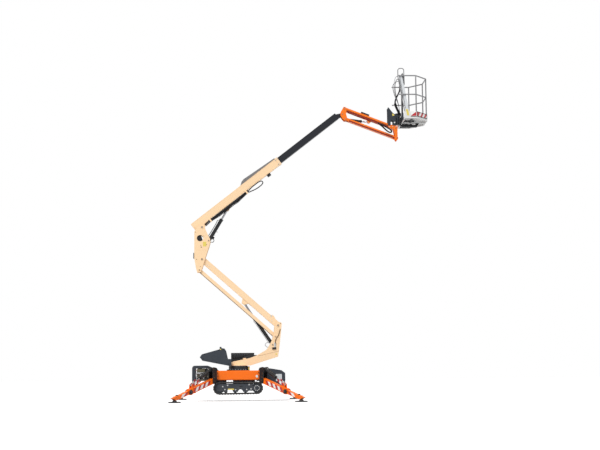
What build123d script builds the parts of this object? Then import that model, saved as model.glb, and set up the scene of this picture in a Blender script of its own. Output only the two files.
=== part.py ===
"""Compact tracked boom lift standing on its four outrigger pads, booms raised.

Frame: origin on the floor under the slewing axis, +X towards the basket, +Z up,
front is the -Y side. Millimetres and degrees. One STEP file per node goes to parts/.
"""
from build123d import *
from math import atan2, cos, degrees, hypot, pi, radians, sin
import os

# ---------------------------------------------------------------- driving dimensions
# running clearances and common plate sizes
PIN_GAP = 0.3            # radial clearance of a pin in its eye
END_GAP = 0.5            # side clearance of a pin's end against its lug
PLATE = 20               # thickness of a main cheek plate
WALL = 6                 # wall of a boom tube

# chassis box
CHASSIS_HALF_X = 545
CHASSIS_HALF_Y = 330
CHASSIS_LOW = 535
CHASSIS_HIGH = 780
CHASSIS_WALL = 12

# tracks
TRACK_INNER_Y = 215
TRACK_OUTER_Y = 395
BELT_THICK = 28
LUG_HEIGHT = 7
LUG_LENGTH = 34
LUG_COUNT = 40
IDLER_X = -479
IDLER_Z = 328
IDLER_R = 132
SPROCKET_X = 483
SPROCKET_Z = 331
SPROCKET_R = 126
ROLLER_R = 40
ROLLER_XS = (-315, -75, 190)
ARCHES = ((-415, 22), (-210, 72), (60, 58), (305, 44))      # centre X and half width
CROSS_BEAMS = ((-545, -305), (-135, 435))                  # X ranges of the carrying beams
CROSS_BEAM_LOW = 445

# hoods
HOOD_HALF_Y = 250
HOOD_WALL = 10
HOOD_SHOULDER = 70
ENGINE_HALF_Y = 205

# slewing ring
SLEW_R = 245
SLEW_SKIRT_R = 300
SLEW_SKIRT = 22
SLEW_TOP = 900
TURRET_BASE = SLEW_TOP + END_GAP

# outriggers
PAD_REACH = 1560
HINGE_X = 660
HINGE_Y = 450
HINGE_Z = 520
LEG_DROP = 16.5
LEG_WIDTH = 110
LEG_HALF_DEPTH = 66
LEG_WALL = 6
LEG_LENGTH = 950
EXT_WIDTH = 88
EXT_HALF_DEPTH = 48
EXT_INSIDE = 420
LEG_PIN_R = 20
LUG_GAP = 62             # half of the space between two bracket plates
LUG_PLATE = 16
PAD_R = 155
PAD_THICK = 26
FOOT_BALL_R = 24
FOOT_HUB_R = 64
FOOT_HUB_HIGH = 40
FOOT_SPINDLE_HIGH = 110
FOOT_CAP_LOW = 94
LEG_CYL_BASE = (60, 300)     # outrigger cylinder's base pin from the leg hinge, outward and up
LEG_CYL_TIP = (800, -100)    # its rod pin, likewise
LEG_CYL_PIN_R = 18

# turret and lower parallelogram
CHEEK_HALF = 112         # half of the space between two cheeks
TOWER_PIN = (1040, 1947)
LINK_OFFSET = (-68, -285)
KNUCKLE_PIN = (-949, 3688)
BEAM_HALF_W = 78
BEAM_LOW = -74
BEAM_HIGH = 80
BEAM_PIN_R = 30
LINK_PIN_R = 20
LINK_INNER = 74
LINK_PLATE = 12
BEAM_LUG = 55            # half of the space between the lower cylinder's rod lugs
LINK_HALF_DEPTH = 46

# upper boom
BOOM_PIVOT = (-950, 4535)
BOOM_ANGLE = 38.2
BOOM_HALF_W = 76
BOOM_LOW = 48
BOOM_HIGH = 250
BOOM_REAR = -185
BOOM_FRONT = 2715
MOUTH_LENGTH = 60
BOOM_LUG = 56            # half of the space between the main cylinder's rod lugs
BOOM_SIDE = 14           # thickness of the plates at the boom's pivot
MAIN_TIP = (800, -42)    # main cylinder's rod pin, along and across the boom
INNER_HALF_W = 60
INNER_LOW = 62
INNER_HIGH = 236
INNER_REAR = 2070
INNER_FRONT = 4700
PIVOT_PIN_R = 32

# jib parallelogram
TIP_PIN = (2800, 7600)
JIB_PIN = (2860, 7745)
JIB_LINK_OFFSET = (25, -270)
JIB_LENGTH = 1470
JIB_ANGLE = -20.7
JIB_HALF_W = 55
JIB_HALF_DEPTH = 52
JIB_LINK_HALF_DEPTH = 40
JIB_LINK_INNER = 55      # half of the open channel in the lower bar
JIB_LINK_PLATE = 10
JIB_WALL = 5
JIB_LUG = 43             # half of the space between the lugs of the jib cylinder's rod
JIB_PIN_R = 18
JIB_CHEEK = 76

# jib head and basket
HEAD_PIN = (JIB_PIN[0] + JIB_LENGTH * cos(radians(JIB_ANGLE)),
            JIB_PIN[1] + JIB_LENGTH * sin(radians(JIB_ANGLE)))
HEAD_TOP = HEAD_PIN[1] + 62
TURN_X = HEAD_PIN[0] + 60            # basket turning axis
ACTUATOR_R = 50
ACTUATOR_LOW = HEAD_PIN[1] + 125
ACTUATOR_HIGH = HEAD_PIN[1] + 385
TURN_LUG = 26
FLOOR_Z = HEAD_PIN[1] + 200
RAIL_HEIGHT = 1120
RAIL_Z = FLOOR_Z + RAIL_HEIGHT
MID_RAIL = 0.53          # share of the rail height at which the middle rail runs
BASKET_X0 = TURN_X + 95
BASKET_X1 = BASKET_X0 + 670
BASKET_HALF_Y = 660
BASKET_CORNER_X = BASKET_X1 - 337
BASKET_CORNER_Y = 290
RAIL_R = 17
HOOP_R = 12
HOOP_RISE = 185
TOE_BOARD = 130
SKIRT = 4
FRAME_DEPTH = 58
COLUMN_THICK = 18
CONSOLE_HALF_Y = 170

# hose bundle on the front side of the boom
HOSE_R = 8.5
HOSE_PITCH = 19
HOSE_COUNT = 4
HOSE_SADDLE = 16.5       # stand-off of the hose clips from the boom's side
HOSE_CLIPS = (287, 1500)
HOSE_ROUTE = ((100, -12), (287, 6), (536, -24), (735, -30), (1020, -24), (1157, -36), (1470, 0), (1560, 14))

# hydraulic cylinders in the side plane: base pin, rod pin, barrel radius, rod radius,
# shortest and longest pin distance, half width of the base eye
LOWER_CYLINDER = dict(base=(895, 1450), tip=(150, 2545), barrel=45, rod=26, short=880, long=1560,
                      base_half=50)
MAIN_CYLINDER = dict(base=(-775, 4180), tip=None, barrel=46, rod=26, short=720, long=1157,
                     base_half=50, eye=1.35)
JIB_CYLINDER = dict(base=None, tip=(3510, 7395), barrel=32, rod=18, short=480, long=843, base_half=46)
LEG_CYLINDER = dict(barrel=40, rod=22, short=517, long=866, base_half=44)


# ---------------------------------------------------------------- shared operations
def prism(points, y_low, y_high, base=Plane.XZ, corner=0):
    """Closed outline in the base plane, filled from y_low to y_high."""
    face = make_face(Polyline(*points, close=True))
    if corner:
        face = fillet(face.vertices(), corner)
    return extrude(base.offset(-y_high) * face, amount=y_high - y_low)


def both_sides(points, inner, outer, base=Plane.XZ, corner=0):
    """The same plate on the -Y and on the +Y side."""
    near = prism(points, -outer, -inner, base, corner)
    far = prism(points, inner, outer, base, corner)
    return near + far


def cross_cylinder(x, z, radius, y_low, y_high, base=Plane.XZ):
    """Round bar along Y, placed by its centre in the base plane."""
    return extrude(base.offset(-y_high) * Pos(x, z) * Circle(radius), amount=y_high - y_low)


def rectangle_points(x0, z0, x1, z1):
    return [(x0, z0), (x1, z0), (x1, z1), (x0, z1)]


def plane_along(start, end):
    """Side plane with its origin at start and its x axis towards end."""
    run_x, run_z = end[0] - start[0], end[1] - start[1]
    return Plane(origin=(start[0], 0, start[1]), x_dir=(run_x, 0, run_z), z_dir=(0, -1, 0))


def distance(a, b):
    return hypot(b[0] - a[0], b[1] - a[1])


def shifted(point, offset):
    return (point[0] + offset[0], point[1] + offset[1])


def along(point, angle, x, y=0):
    """Point at (x, y) in a frame at the given point, turned by angle."""
    turn = radians(angle)
    return (point[0] + x * cos(turn) - y * sin(turn), point[1] + x * sin(turn) + y * cos(turn))


def rounded_box(x0, x1, y0, y1, z0, z1):
    return Pos((x0 + x1) / 2, (y0 + y1) / 2, (z0 + z1) / 2) * Box(x1 - x0, y1 - y0, z1 - z0)


def cylinder_pair(base, tip, barrel, rod, short, long, base_half, pin_r, tip_half, plane=None,
                  eye=1.45):
    """Barrel and rod between two pins. The rod's eye carries its own short pin."""
    plane = plane or plane_along(base, tip)
    length = distance(base, tip)
    gland = short - barrel * 1.1
    tail = gland - 35 - (long - length)
    side = Plane(origin=plane.origin, x_dir=plane.z_dir.cross(plane.x_dir), z_dir=plane.x_dir)
    tube = side.offset(barrel * 0.6) * Cylinder(barrel, gland - barrel * 0.6, align=BOTTOM)
    collar = side.offset(gland - 45) * Cylinder(barrel + 5, 45, align=BOTTOM)
    base_eye = cross_cylinder(0, 0, barrel * 0.95, -base_half, base_half, plane)
    shell = tube + collar + base_eye
    bore_start = gland - 35 - (long - short) - 12
    bore = side.offset(bore_start) * Cylinder(rod + PIN_GAP, gland - bore_start + 1, align=BOTTOM)
    shell -= bore
    shell -= cross_cylinder(0, 0, pin_r + PIN_GAP, -base_half - 1, base_half + 1, plane)
    shaft = side.offset(tail) * Cylinder(rod, length - tail, align=BOTTOM)
    tip_eye = cross_cylinder(length, 0, rod * eye, -tip_half, tip_half, plane)
    return shell, shaft + tip_eye


BOTTOM = (Align.CENTER, Align.CENTER, Align.MIN)


# ---------------------------------------------------------------- chassis
def chassis_box_outline():
    return rounded_box(-CHASSIS_HALF_X, CHASSIS_HALF_X, -CHASSIS_HALF_Y, CHASSIS_HALF_Y,
                       CHASSIS_LOW, CHASSIS_HIGH)


def chassis_frame():
    """Hollow centre box between the track frames."""
    box = chamfer(chassis_box_outline().edges().filter_by(Axis.X), 14)
    inside = rounded_box(-CHASSIS_HALF_X + CHASSIS_WALL, CHASSIS_HALF_X - CHASSIS_WALL,
                         -CHASSIS_HALF_Y + CHASSIS_WALL, CHASSIS_HALF_Y - CHASSIS_WALL,
                         CHASSIS_LOW + CHASSIS_WALL, CHASSIS_HIGH - CHASSIS_WALL)
    return box - inside


def place_leg(shape, side_x, side_y):
    azimuth = degrees(atan2(side_y * (PAD_REACH - HINGE_Y), side_x * (PAD_REACH - HINGE_X)))
    return Pos(side_x * HINGE_X, side_y * HINGE_Y, HINGE_Z) * Rot(0, 0, azimuth) * shape


def corner_bracket():
    """Two plates with the leg pin and the outrigger cylinder pin, on a post at the chassis corner."""
    outline = [(-190, -12), (-84, -12), (-64, -66), (20, -80), (58, -30), (58, 40), (70, 230),
               (100, 280), (104, 312), (82, 340), (30, 348), (-60, 330), (-110, 262), (-190, 250)]
    plates = both_sides(outline, LUG_GAP, LUG_GAP + LUG_PLATE)
    post = prism([(-200, -12), (-90, -12), (-90, 236), (-110, 262), (-200, 250)], -LUG_GAP, LUG_GAP)
    pins = cross_cylinder(0, 0, LEG_PIN_R, -LUG_GAP, LUG_GAP)
    pins += cross_cylinder(*LEG_CYL_BASE, LEG_CYL_PIN_R, -LUG_GAP, LUG_GAP)
    heads = both_sides_round(0, 0, LEG_PIN_R + 12, LUG_GAP + LUG_PLATE, LUG_GAP + LUG_PLATE + 8)
    heads += both_sides_round(*LEG_CYL_BASE, 28, LUG_GAP + LUG_PLATE, LUG_GAP + LUG_PLATE + 8)
    spacer = both_sides_round(*LEG_CYL_BASE, 30, LEG_CYLINDER["base_half"] + END_GAP, LUG_GAP)
    return plates + post + pins + heads + spacer


def both_sides_round(x, z, radius, inner, outer, base=Plane.XZ):
    near = cross_cylinder(x, z, radius, -outer, -inner, base)
    far = cross_cylinder(x, z, radius, inner, outer, base)
    return near + far


def corner_brackets():
    front = HINGE_Y
    keep_out = rounded_box(-CHASSIS_HALF_X, CHASSIS_HALF_X, -front, front, CHASSIS_LOW, CHASSIS_HIGH)
    solids = []
    for side_x, side_y in CORNERS.values():
        solids += (place_leg(corner_bracket(), side_x, side_y) - keep_out).solids()
    return Compound(children=solids)


def belt_outline(extra):
    """Loop round the idler and the sprocket, grown by extra."""
    left = Pos(IDLER_X, IDLER_Z) * Circle(IDLER_R + extra)
    right = Pos(SPROCKET_X, SPROCKET_Z) * Circle(SPROCKET_R + extra)
    return make_hull((left.edges() + right.edges()))


def side_band(face, y_low, y_high):
    return extrude(Plane.XZ.offset(-y_high) * face, amount=y_high - y_low)


def track_belt(sign):
    """Rubber loop with its shoe bars in the outline."""
    y_low, y_high = sorted((sign * TRACK_INNER_Y, sign * TRACK_OUTER_Y))
    band = belt_outline(BELT_THICK) - belt_outline(0)
    rim = belt_outline(BELT_THICK - 1).wire()
    step = 1 / LUG_COUNT
    for index in range(LUG_COUNT):
        spot = rim.position_at(index * step)
        turn = degrees(atan2(rim.tangent_at(index * step).Y, rim.tangent_at(index * step).X))
        band += Pos(spot.X, spot.Y) * Rot(0, 0, turn) * Rectangle(LUG_LENGTH, 2 * LUG_HEIGHT + 2)
    band -= belt_outline(0)
    return side_band(band, y_low, y_high)


def track_frame(sign):
    """Side plate with arches over the rollers, the box behind it and the beams to the chassis."""
    face_y = sign * (TRACK_OUTER_Y - 12)
    back_y = sign * (TRACK_OUTER_Y - 30)
    y_low, y_high = sorted((face_y, back_y))
    side = [(IDLER_X + 60, 236), (IDLER_X - 70, 262), (IDLER_X - 98, IDLER_Z), (IDLER_X - 70, 408),
            (IDLER_X + 40, 440), (SPROCKET_X - 40, 440), (SPROCKET_X - 150, 375),
            (SPROCKET_X - 160, 290), (SPROCKET_X - 110, 236)]
    plate = prism(side, y_low, y_high, corner=14)
    for x, half in ARCHES:
        plate -= cross_cylinder(x, 240, half, y_low - 1, y_high + 1)
    core_low, core_high = sorted((back_y, sign * (TRACK_INNER_Y - 20)))
    body = plate + rounded_box(-320, 320, core_low, core_high, 312, CROSS_BEAM_LOW)
    beam_low, beam_high = sorted((sign * (TRACK_INNER_Y - PIN_GAP), sign * END_GAP))
    for x0, x1 in CROSS_BEAMS:
        body += rounded_box(x0, x1, beam_low, beam_high, CROSS_BEAM_LOW - 1, CHASSIS_LOW - PIN_GAP)
    return body


def track_wheels(sign):
    """Idler, sprocket and road rollers of one track."""
    y_low, y_high = sorted((sign * (TRACK_INNER_Y + 30), sign * (TRACK_OUTER_Y - 34)))
    idler = cross_cylinder(IDLER_X, IDLER_Z, IDLER_R - END_GAP, y_low, y_high)
    disc = cross_cylinder(SPROCKET_X, SPROCKET_Z, SPROCKET_R - END_GAP, y_low, y_high)
    hub = cross_cylinder(SPROCKET_X, SPROCKET_Z, 82, *sorted((sign * (TRACK_OUTER_Y - 34),
                                                             sign * (TRACK_OUTER_Y - 4))))
    solids = [idler, disc + hub]
    low_idler, low_sprocket = IDLER_Z - IDLER_R, SPROCKET_Z - SPROCKET_R
    for x in ROLLER_XS:
        share = (x - IDLER_X) / (SPROCKET_X - IDLER_X)
        z = low_idler + share * (low_sprocket - low_idler) + ROLLER_R + END_GAP
        solids.append(cross_cylinder(x, z, ROLLER_R, y_low, y_high))
    return Compound(children=[s for piece in solids for s in piece.solids()])


def slew_base():
    """Stepped drum under the turret with the box of its slewing drive."""
    skirt = Pos(0, 0, CHASSIS_HIGH) * Cylinder(SLEW_SKIRT_R, SLEW_SKIRT, align=BOTTOM)
    drum = Pos(0, 0, CHASSIS_HIGH) * Cylinder(SLEW_R, SLEW_TOP - CHASSIS_HIGH, align=BOTTOM)
    drive = rounded_box(SLEW_R - 60, SLEW_SKIRT_R, -70, 70, CHASSIS_HIGH, SLEW_TOP - 13)
    return skirt + drum + drive


def engine_hood():
    """Cover open on both long sides: roof, end wall and a rounded shoulder."""
    outer = [(-1188, 450), (-1188, 912), (-790, 912), (-515, 796), (-515, CHASSIS_HIGH),
             (-546, CHASSIS_HIGH), (-546, CHASSIS_LOW), (-690, CHASSIS_LOW), (-690, 450)]
    shell = prism(outer, -HOOD_HALF_Y, HOOD_HALF_Y)
    top_edges = [e for e in shell.edges().filter_by(Axis.Y) if e.center().Z > 900]
    shell = fillet(top_edges, HOOD_SHOULDER)
    cavity = prism([(-1188 + HOOD_WALL, 440), (-1188 + HOOD_WALL, 912 - HOOD_WALL),
                    (-793, 912 - HOOD_WALL), (-540, 794), (-540, 440)],
                   -HOOD_HALF_Y + HOOD_WALL, HOOD_HALF_Y - HOOD_WALL)
    window = prism([(-1100, 430), (-1100, 842), (-760, 842), (-640, 790), (-640, 430)], -400, 400,
                   corner=12)
    return shell - cavity - window


def engine_block():
    """Engine and pump as one plain lump with its lower tray."""
    block = rounded_box(-1070, -712, -ENGINE_HALF_Y, ENGINE_HALF_Y, 520, 770)
    top = rounded_box(-1055, -800, -150, 150, 769, 835)
    tray = rounded_box(-1188 + HOOD_WALL, -CHASSIS_HALF_X, -ENGINE_HALF_Y - 10, ENGINE_HALF_Y + 10,
                       CHASSIS_LOW, CHASSIS_LOW + 20)
    return block + top + tray


def right_hood():
    outer = [(560, 478), (560, 847), (847, 828), (1121, 782), (1216, 708), (1221, 400), (1130, 400)]
    shell = prism(outer, -HOOD_HALF_Y, HOOD_HALF_Y, corner=14)
    inner = [(572, 466), (572, 834), (845, 815), (1113, 770), (1204, 700), (1208, 380), (1140, 380)]
    shell -= prism(inner, -HOOD_HALF_Y + HOOD_WALL, HOOD_HALF_Y - HOOD_WALL)
    return shell + rounded_box(CHASSIS_HALF_X, 562, -180, 180, 560, 760)


# ---------------------------------------------------------------- outriggers
def leg_plane():
    drop = radians(LEG_DROP)
    return Plane(origin=(0, 0, 0), x_dir=(cos(drop), 0, -sin(drop)), z_dir=(0, -1, 0))


def leg_tube():
    """Outer tube with its hinge eye and two lugs for the cylinder's rod."""
    plane = leg_plane()
    half = LEG_WIDTH / 2
    depth = LEG_HALF_DEPTH
    outline = [(-10, -depth), (LEG_LENGTH, -depth), (LEG_LENGTH, depth), (-10, depth)]
    body = prism(outline, -half, half, plane) + cross_cylinder(0, 0, depth, -half, half, plane)
    bore = rectangle_points(90, -depth + LEG_WALL, LEG_LENGTH + 1, depth - LEG_WALL)
    body -= prism(bore, -half + LEG_WALL, half - LEG_WALL, plane)
    collar = prism(rectangle_points(LEG_LENGTH - 70, -depth - 9, LEG_LENGTH, depth + 9),
                   -half - 9, half + 9, plane)
    collar -= prism(rectangle_points(LEG_LENGTH - 80, -depth + 3, LEG_LENGTH + 10, depth - 3),
                    -half + 3, half - 3, plane)
    body += collar
    tip_x, tip_y = leg_tip()
    lugs = both_sides([(tip_x - 90, depth - 2), (tip_x - 30, tip_y + 34), (tip_x + 30, tip_y + 34),
                       (tip_x + 75, depth - 2)], 34, 46, plane)
    body += lugs
    body -= cross_cylinder(0, 0, LEG_PIN_R + PIN_GAP, -half - 1, half + 1, plane)
    return body


def leg_tip():
    """Rod pin of the outrigger cylinder in the leg's own frame."""
    drop = radians(LEG_DROP)
    x, z = LEG_CYL_TIP
    return (x * cos(drop) - z * sin(drop), x * sin(drop) + z * cos(drop))


def foot_reach():
    return hypot(PAD_REACH - HINGE_X, PAD_REACH - HINGE_Y)


def leg_extension():
    """Inner tube cut to a point over the foot, with the cap that takes the foot's spindle."""
    plane = leg_plane()
    half = EXT_WIDTH / 2
    depth = EXT_HALF_DEPTH
    reach = foot_reach() / cos(radians(LEG_DROP))
    start = LEG_LENGTH - EXT_INSIDE
    outline = [(start, -depth), (reach + 5, -depth), (reach + 62, depth * 0.35), (reach + 110, depth),
               (start, depth)]
    tube = prism(outline, -half, half, plane)
    tube -= prism(rectangle_points(start - 1, -depth + LEG_WALL, reach - 70, depth - LEG_WALL),
                  -half + LEG_WALL, half - LEG_WALL, plane)
    wear = prism(rectangle_points(LEG_LENGTH - 60, -LEG_HALF_DEPTH + LEG_WALL + PIN_GAP,
                                  LEG_LENGTH - 10, LEG_HALF_DEPTH - LEG_WALL - PIN_GAP),
                 -LEG_WIDTH / 2 + LEG_WALL + PIN_GAP, LEG_WIDTH / 2 - LEG_WALL - PIN_GAP, plane)
    wear -= prism(rectangle_points(LEG_LENGTH - 61, -depth + 1, LEG_LENGTH, depth - 1),
                  -half + 1, half - 1, plane)
    tube += wear
    foot_x = foot_reach()
    cap = Pos(foot_x, 0, FOOT_CAP_LOW - HINGE_Z) * Cylinder(34, 66, align=BOTTOM)
    well = Pos(foot_x, 0, PAD_THICK - HINGE_Z) * Cylinder(FOOT_HUB_R + 6, FOOT_HUB_HIGH + 2, align=BOTTOM)
    hole = Pos(foot_x, 0, -HINGE_Z) * Cylinder(FOOT_BALL_R + PIN_GAP, FOOT_SPINDLE_HIGH + END_GAP,
                                               align=BOTTOM)
    return tube + cap - well - hole


def leg_foot():
    """Round pad with its hub and the ball spindle that stands in the leg's cap."""
    foot_x = foot_reach()
    pad = Pos(foot_x, 0, -HINGE_Z) * Cylinder(PAD_R, PAD_THICK, align=BOTTOM)
    pad = chamfer(pad.edges().filter_by(GeomType.CIRCLE).sort_by(Axis.Z)[-1], 6)
    hub = Pos(foot_x, 0, PAD_THICK - 1 - HINGE_Z) * Cone(FOOT_HUB_R, 40, FOOT_HUB_HIGH, align=BOTTOM)
    spindle = Pos(foot_x, 0, PAD_THICK - HINGE_Z) * Cylinder(FOOT_BALL_R, FOOT_SPINDLE_HIGH - PAD_THICK,
                                                             align=BOTTOM)
    return pad + hub + spindle


def leg_cylinder():
    plane = plane_along(LEG_CYL_BASE, LEG_CYL_TIP)
    return cylinder_pair(LEG_CYL_BASE, LEG_CYL_TIP, pin_r=LEG_CYL_PIN_R, tip_half=34 - END_GAP,
                         plane=plane, **LEG_CYLINDER)


# ---------------------------------------------------------------- turret
def turret():
    """Welded arm on the slewing ring that rises to the two cheeks of the tower."""
    lower = [(-186, TURRET_BASE), (319, TURRET_BASE + 8), (1038, 1132), (1062, 1290), (735, 1312),
             (501, 1177), (306, 1101), (-186, 1001)]
    box_face = make_face(Polyline(*lower, close=True))
    outer = CHEEK_HALF + PLATE
    arm = extrude(Plane.XZ.offset(-outer) * box_face, amount=2 * outer)
    hollow = offset(box_face, -14)
    arm -= extrude(Plane.XZ.offset(-CHEEK_HALF) * hollow, amount=2 * CHEEK_HALF)
    edge = Polyline((735, 1312), (501, 1177), (306, 1101), (306, 1000), (1000, 1122), (1038, 1132),
                    (1065, 1295), (1136, 1950), (1136, 2005), (1096, 2032), (1000, 2032), (946, 1925),
                    (940, 1822))
    curve = ThreePointArc((940, 1822), (868, 1545), (735, 1312))
    cheek = make_face(edge.edges() + curve.edges())
    near = extrude(Plane.XZ.offset(CHEEK_HALF) * cheek, amount=PLATE)
    far = extrude(Plane.XZ.offset(-outer) * cheek, amount=PLATE)
    web = prism([(1047, 1200), (1065, 1295), (1126, 1850), (1106, 1850), (1046, 1300), (1030, 1200)],
                -CHEEK_HALF, CHEEK_HALF)
    disc = Pos(0, 0, TURRET_BASE) * Cylinder(SLEW_R - 7, 30, align=BOTTOM)
    body = arm + near + far + web + disc
    link_pin = shifted(TOWER_PIN, LINK_OFFSET)
    for pin, radius in ((TOWER_PIN, BEAM_PIN_R), (link_pin, LINK_PIN_R), (LOWER_CYLINDER["base"], 22)):
        body += cross_cylinder(*pin, radius, -outer - 10, outer + 10)
        body += both_sides_round(*pin, radius + 14, outer, outer + 6)
    body += both_sides_round(*LOWER_CYLINDER["base"], 34, LOWER_CYLINDER["base_half"] + END_GAP,
                             CHEEK_HALF)
    body += both_sides_round(*TOWER_PIN, 46, BEAM_HALF_W + END_GAP, CHEEK_HALF)
    body += both_sides_round(*link_pin, 32, LINK_INNER + LINK_PLATE + END_GAP, CHEEK_HALF)
    return body


def tail_cover():
    """Moulded cover that points away from the tower, on the front side of the turret."""
    outline = [(-934, 1203), (-990, 1126), (-921, 1036), (-237, TURRET_BASE + 1), (-172, TURRET_BASE + 1),
               (-172, 1078), (-263, 1078), (-310, 1284), (-354, 1346), (-444, 1360), (-496, 1324)]
    shell = prism(outline, -340, -172, corner=12)
    knob = Pos(-455, -256, 1340) * Cylinder(24, 52, align=BOTTOM)
    arm = rounded_box(-236, -186, -173, -60, 936, 990)
    return shell + knob + arm


def valve_box():
    outline = [(-186, 1001), (306, 1101), (501, 1177), (400, 1180), (417, 1187), (417, 1236), (-186, 1236)]
    return prism(outline, -100, 100)


# ---------------------------------------------------------------- lower parallelogram
def lower_beam():
    """Box beam between the tower and the knuckle, with a slot and lugs for its cylinder's rod."""
    plane = plane_along(KNUCKLE_PIN, TOWER_PIN)
    length = distance(KNUCKLE_PIN, TOWER_PIN)
    body = prism(rectangle_points(0, BEAM_LOW, length, BEAM_HIGH), -BEAM_HALF_W, BEAM_HALF_W, plane)
    body += cross_cylinder(0, 0, 78, -BEAM_HALF_W, BEAM_HALF_W, plane)
    body += cross_cylinder(length, 0, 78, -BEAM_HALF_W, BEAM_HALF_W, plane)
    inner = rectangle_points(95, BEAM_LOW + WALL, length - 95, BEAM_HIGH - WALL)
    body -= prism(inner, -BEAM_HALF_W + WALL, BEAM_HALF_W - WALL, plane)
    tip = LOWER_CYLINDER["tip"]
    rel = plane.to_local_coords(Vector(tip[0], 0, tip[1]))
    slot = rectangle_points(rel.X - 150, BEAM_LOW - 1, rel.X + 200, BEAM_LOW + WALL + 1)
    body -= prism(slot, -BEAM_LUG, BEAM_LUG, plane)
    lug = [(rel.X - 110, BEAM_LOW + WALL), (rel.X - 40, rel.Y - 44), (rel.X + 40, rel.Y - 44),
           (rel.X + 110, BEAM_LOW + WALL)]
    body += both_sides(lug, BEAM_LUG, BEAM_LUG + 10, plane)
    body += both_sides_round(rel.X, rel.Y, 30, BEAM_LUG + 10, BEAM_LUG + 14, plane)
    ear = [(length - 330, BEAM_HIGH - 1), (length - 285, BEAM_HIGH + 34), (length - 230, BEAM_HIGH + 34),
           (length - 150, BEAM_HIGH - 1)]
    body += both_sides(ear, 50, BEAM_HALF_W, plane)
    for x in (0, length):
        body -= cross_cylinder(x, 0, BEAM_PIN_R + PIN_GAP, -BEAM_HALF_W - 1, BEAM_HALF_W + 1, plane)
    return body


def lower_link():
    """Two side bars tied by a cover plate at the knuckle half and a cross tube near the tower."""
    start = shifted(KNUCKLE_PIN, LINK_OFFSET)
    end = shifted(TOWER_PIN, LINK_OFFSET)
    plane = plane_along(start, end)
    length = distance(start, end)
    half = LINK_HALF_DEPTH
    outer = LINK_INNER + LINK_PLATE
    bars = both_sides(rectangle_points(0, -half, length, half), LINK_INNER, outer, plane)
    for x in (0, length):
        bars += both_sides_round(x, 0, half, LINK_INNER, outer, plane)
    cover = prism(rectangle_points(160, half - 10, 1190, half), -LINK_INNER, LINK_INNER, plane)
    tie = cross_cylinder(length - 190, 0, 20, -LINK_INNER, LINK_INNER, plane)
    body = bars + cover + tie
    for x in (0, length):
        body -= cross_cylinder(x, 0, LINK_PIN_R + PIN_GAP, -outer - 1, outer + 1, plane)
    return body


def knuckle():
    """Two cheeks that carry the lower parallelogram, the boom's pivot and its cylinder."""
    outline = [(-1152, 3725), (-1109, 3468), (-1076, 3345), (-975, 3345), (-918, 3519), (-867, 3700),
               (-757, 4034), (-728, 4150), (-740, 4225), (-803, 4342), (-868, 4496), (-880, 4580),
               (-930, 4612), (-1000, 4602), (-1075, 4540), (-1152, 4419)]
    outer = CHEEK_HALF + PLATE
    body = both_sides(outline, CHEEK_HALF, outer)
    body += prism(rectangle_points(-1152, 3725, -1138, 4290), -CHEEK_HALF, CHEEK_HALF)
    body += prism(rectangle_points(-1138, 3960, -900, 3974), -CHEEK_HALF, CHEEK_HALF)
    body -= cross_cylinder(-1001, 4241, 84, -outer - 1, outer + 1)
    link_pin = shifted(KNUCKLE_PIN, LINK_OFFSET)
    base = MAIN_CYLINDER["base"]
    for pin, radius in ((KNUCKLE_PIN, BEAM_PIN_R), (link_pin, LINK_PIN_R), (BOOM_PIVOT, PIVOT_PIN_R),
                        (base, 22)):
        body += cross_cylinder(*pin, radius, -outer - 8, outer + 8)
        body += both_sides_round(*pin, radius + 12, outer, outer + 5)
    body += both_sides_round(*base, 32, MAIN_CYLINDER["base_half"] + END_GAP, CHEEK_HALF)
    body += both_sides_round(*KNUCKLE_PIN, 46, BEAM_HALF_W + END_GAP, CHEEK_HALF)
    body += both_sides_round(*link_pin, 32, LINK_INNER + LINK_PLATE + END_GAP, CHEEK_HALF)
    return body


# ---------------------------------------------------------------- upper boom
def boom_plane():
    return plane_along(BOOM_PIVOT, along(BOOM_PIVOT, BOOM_ANGLE, 1000))


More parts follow.
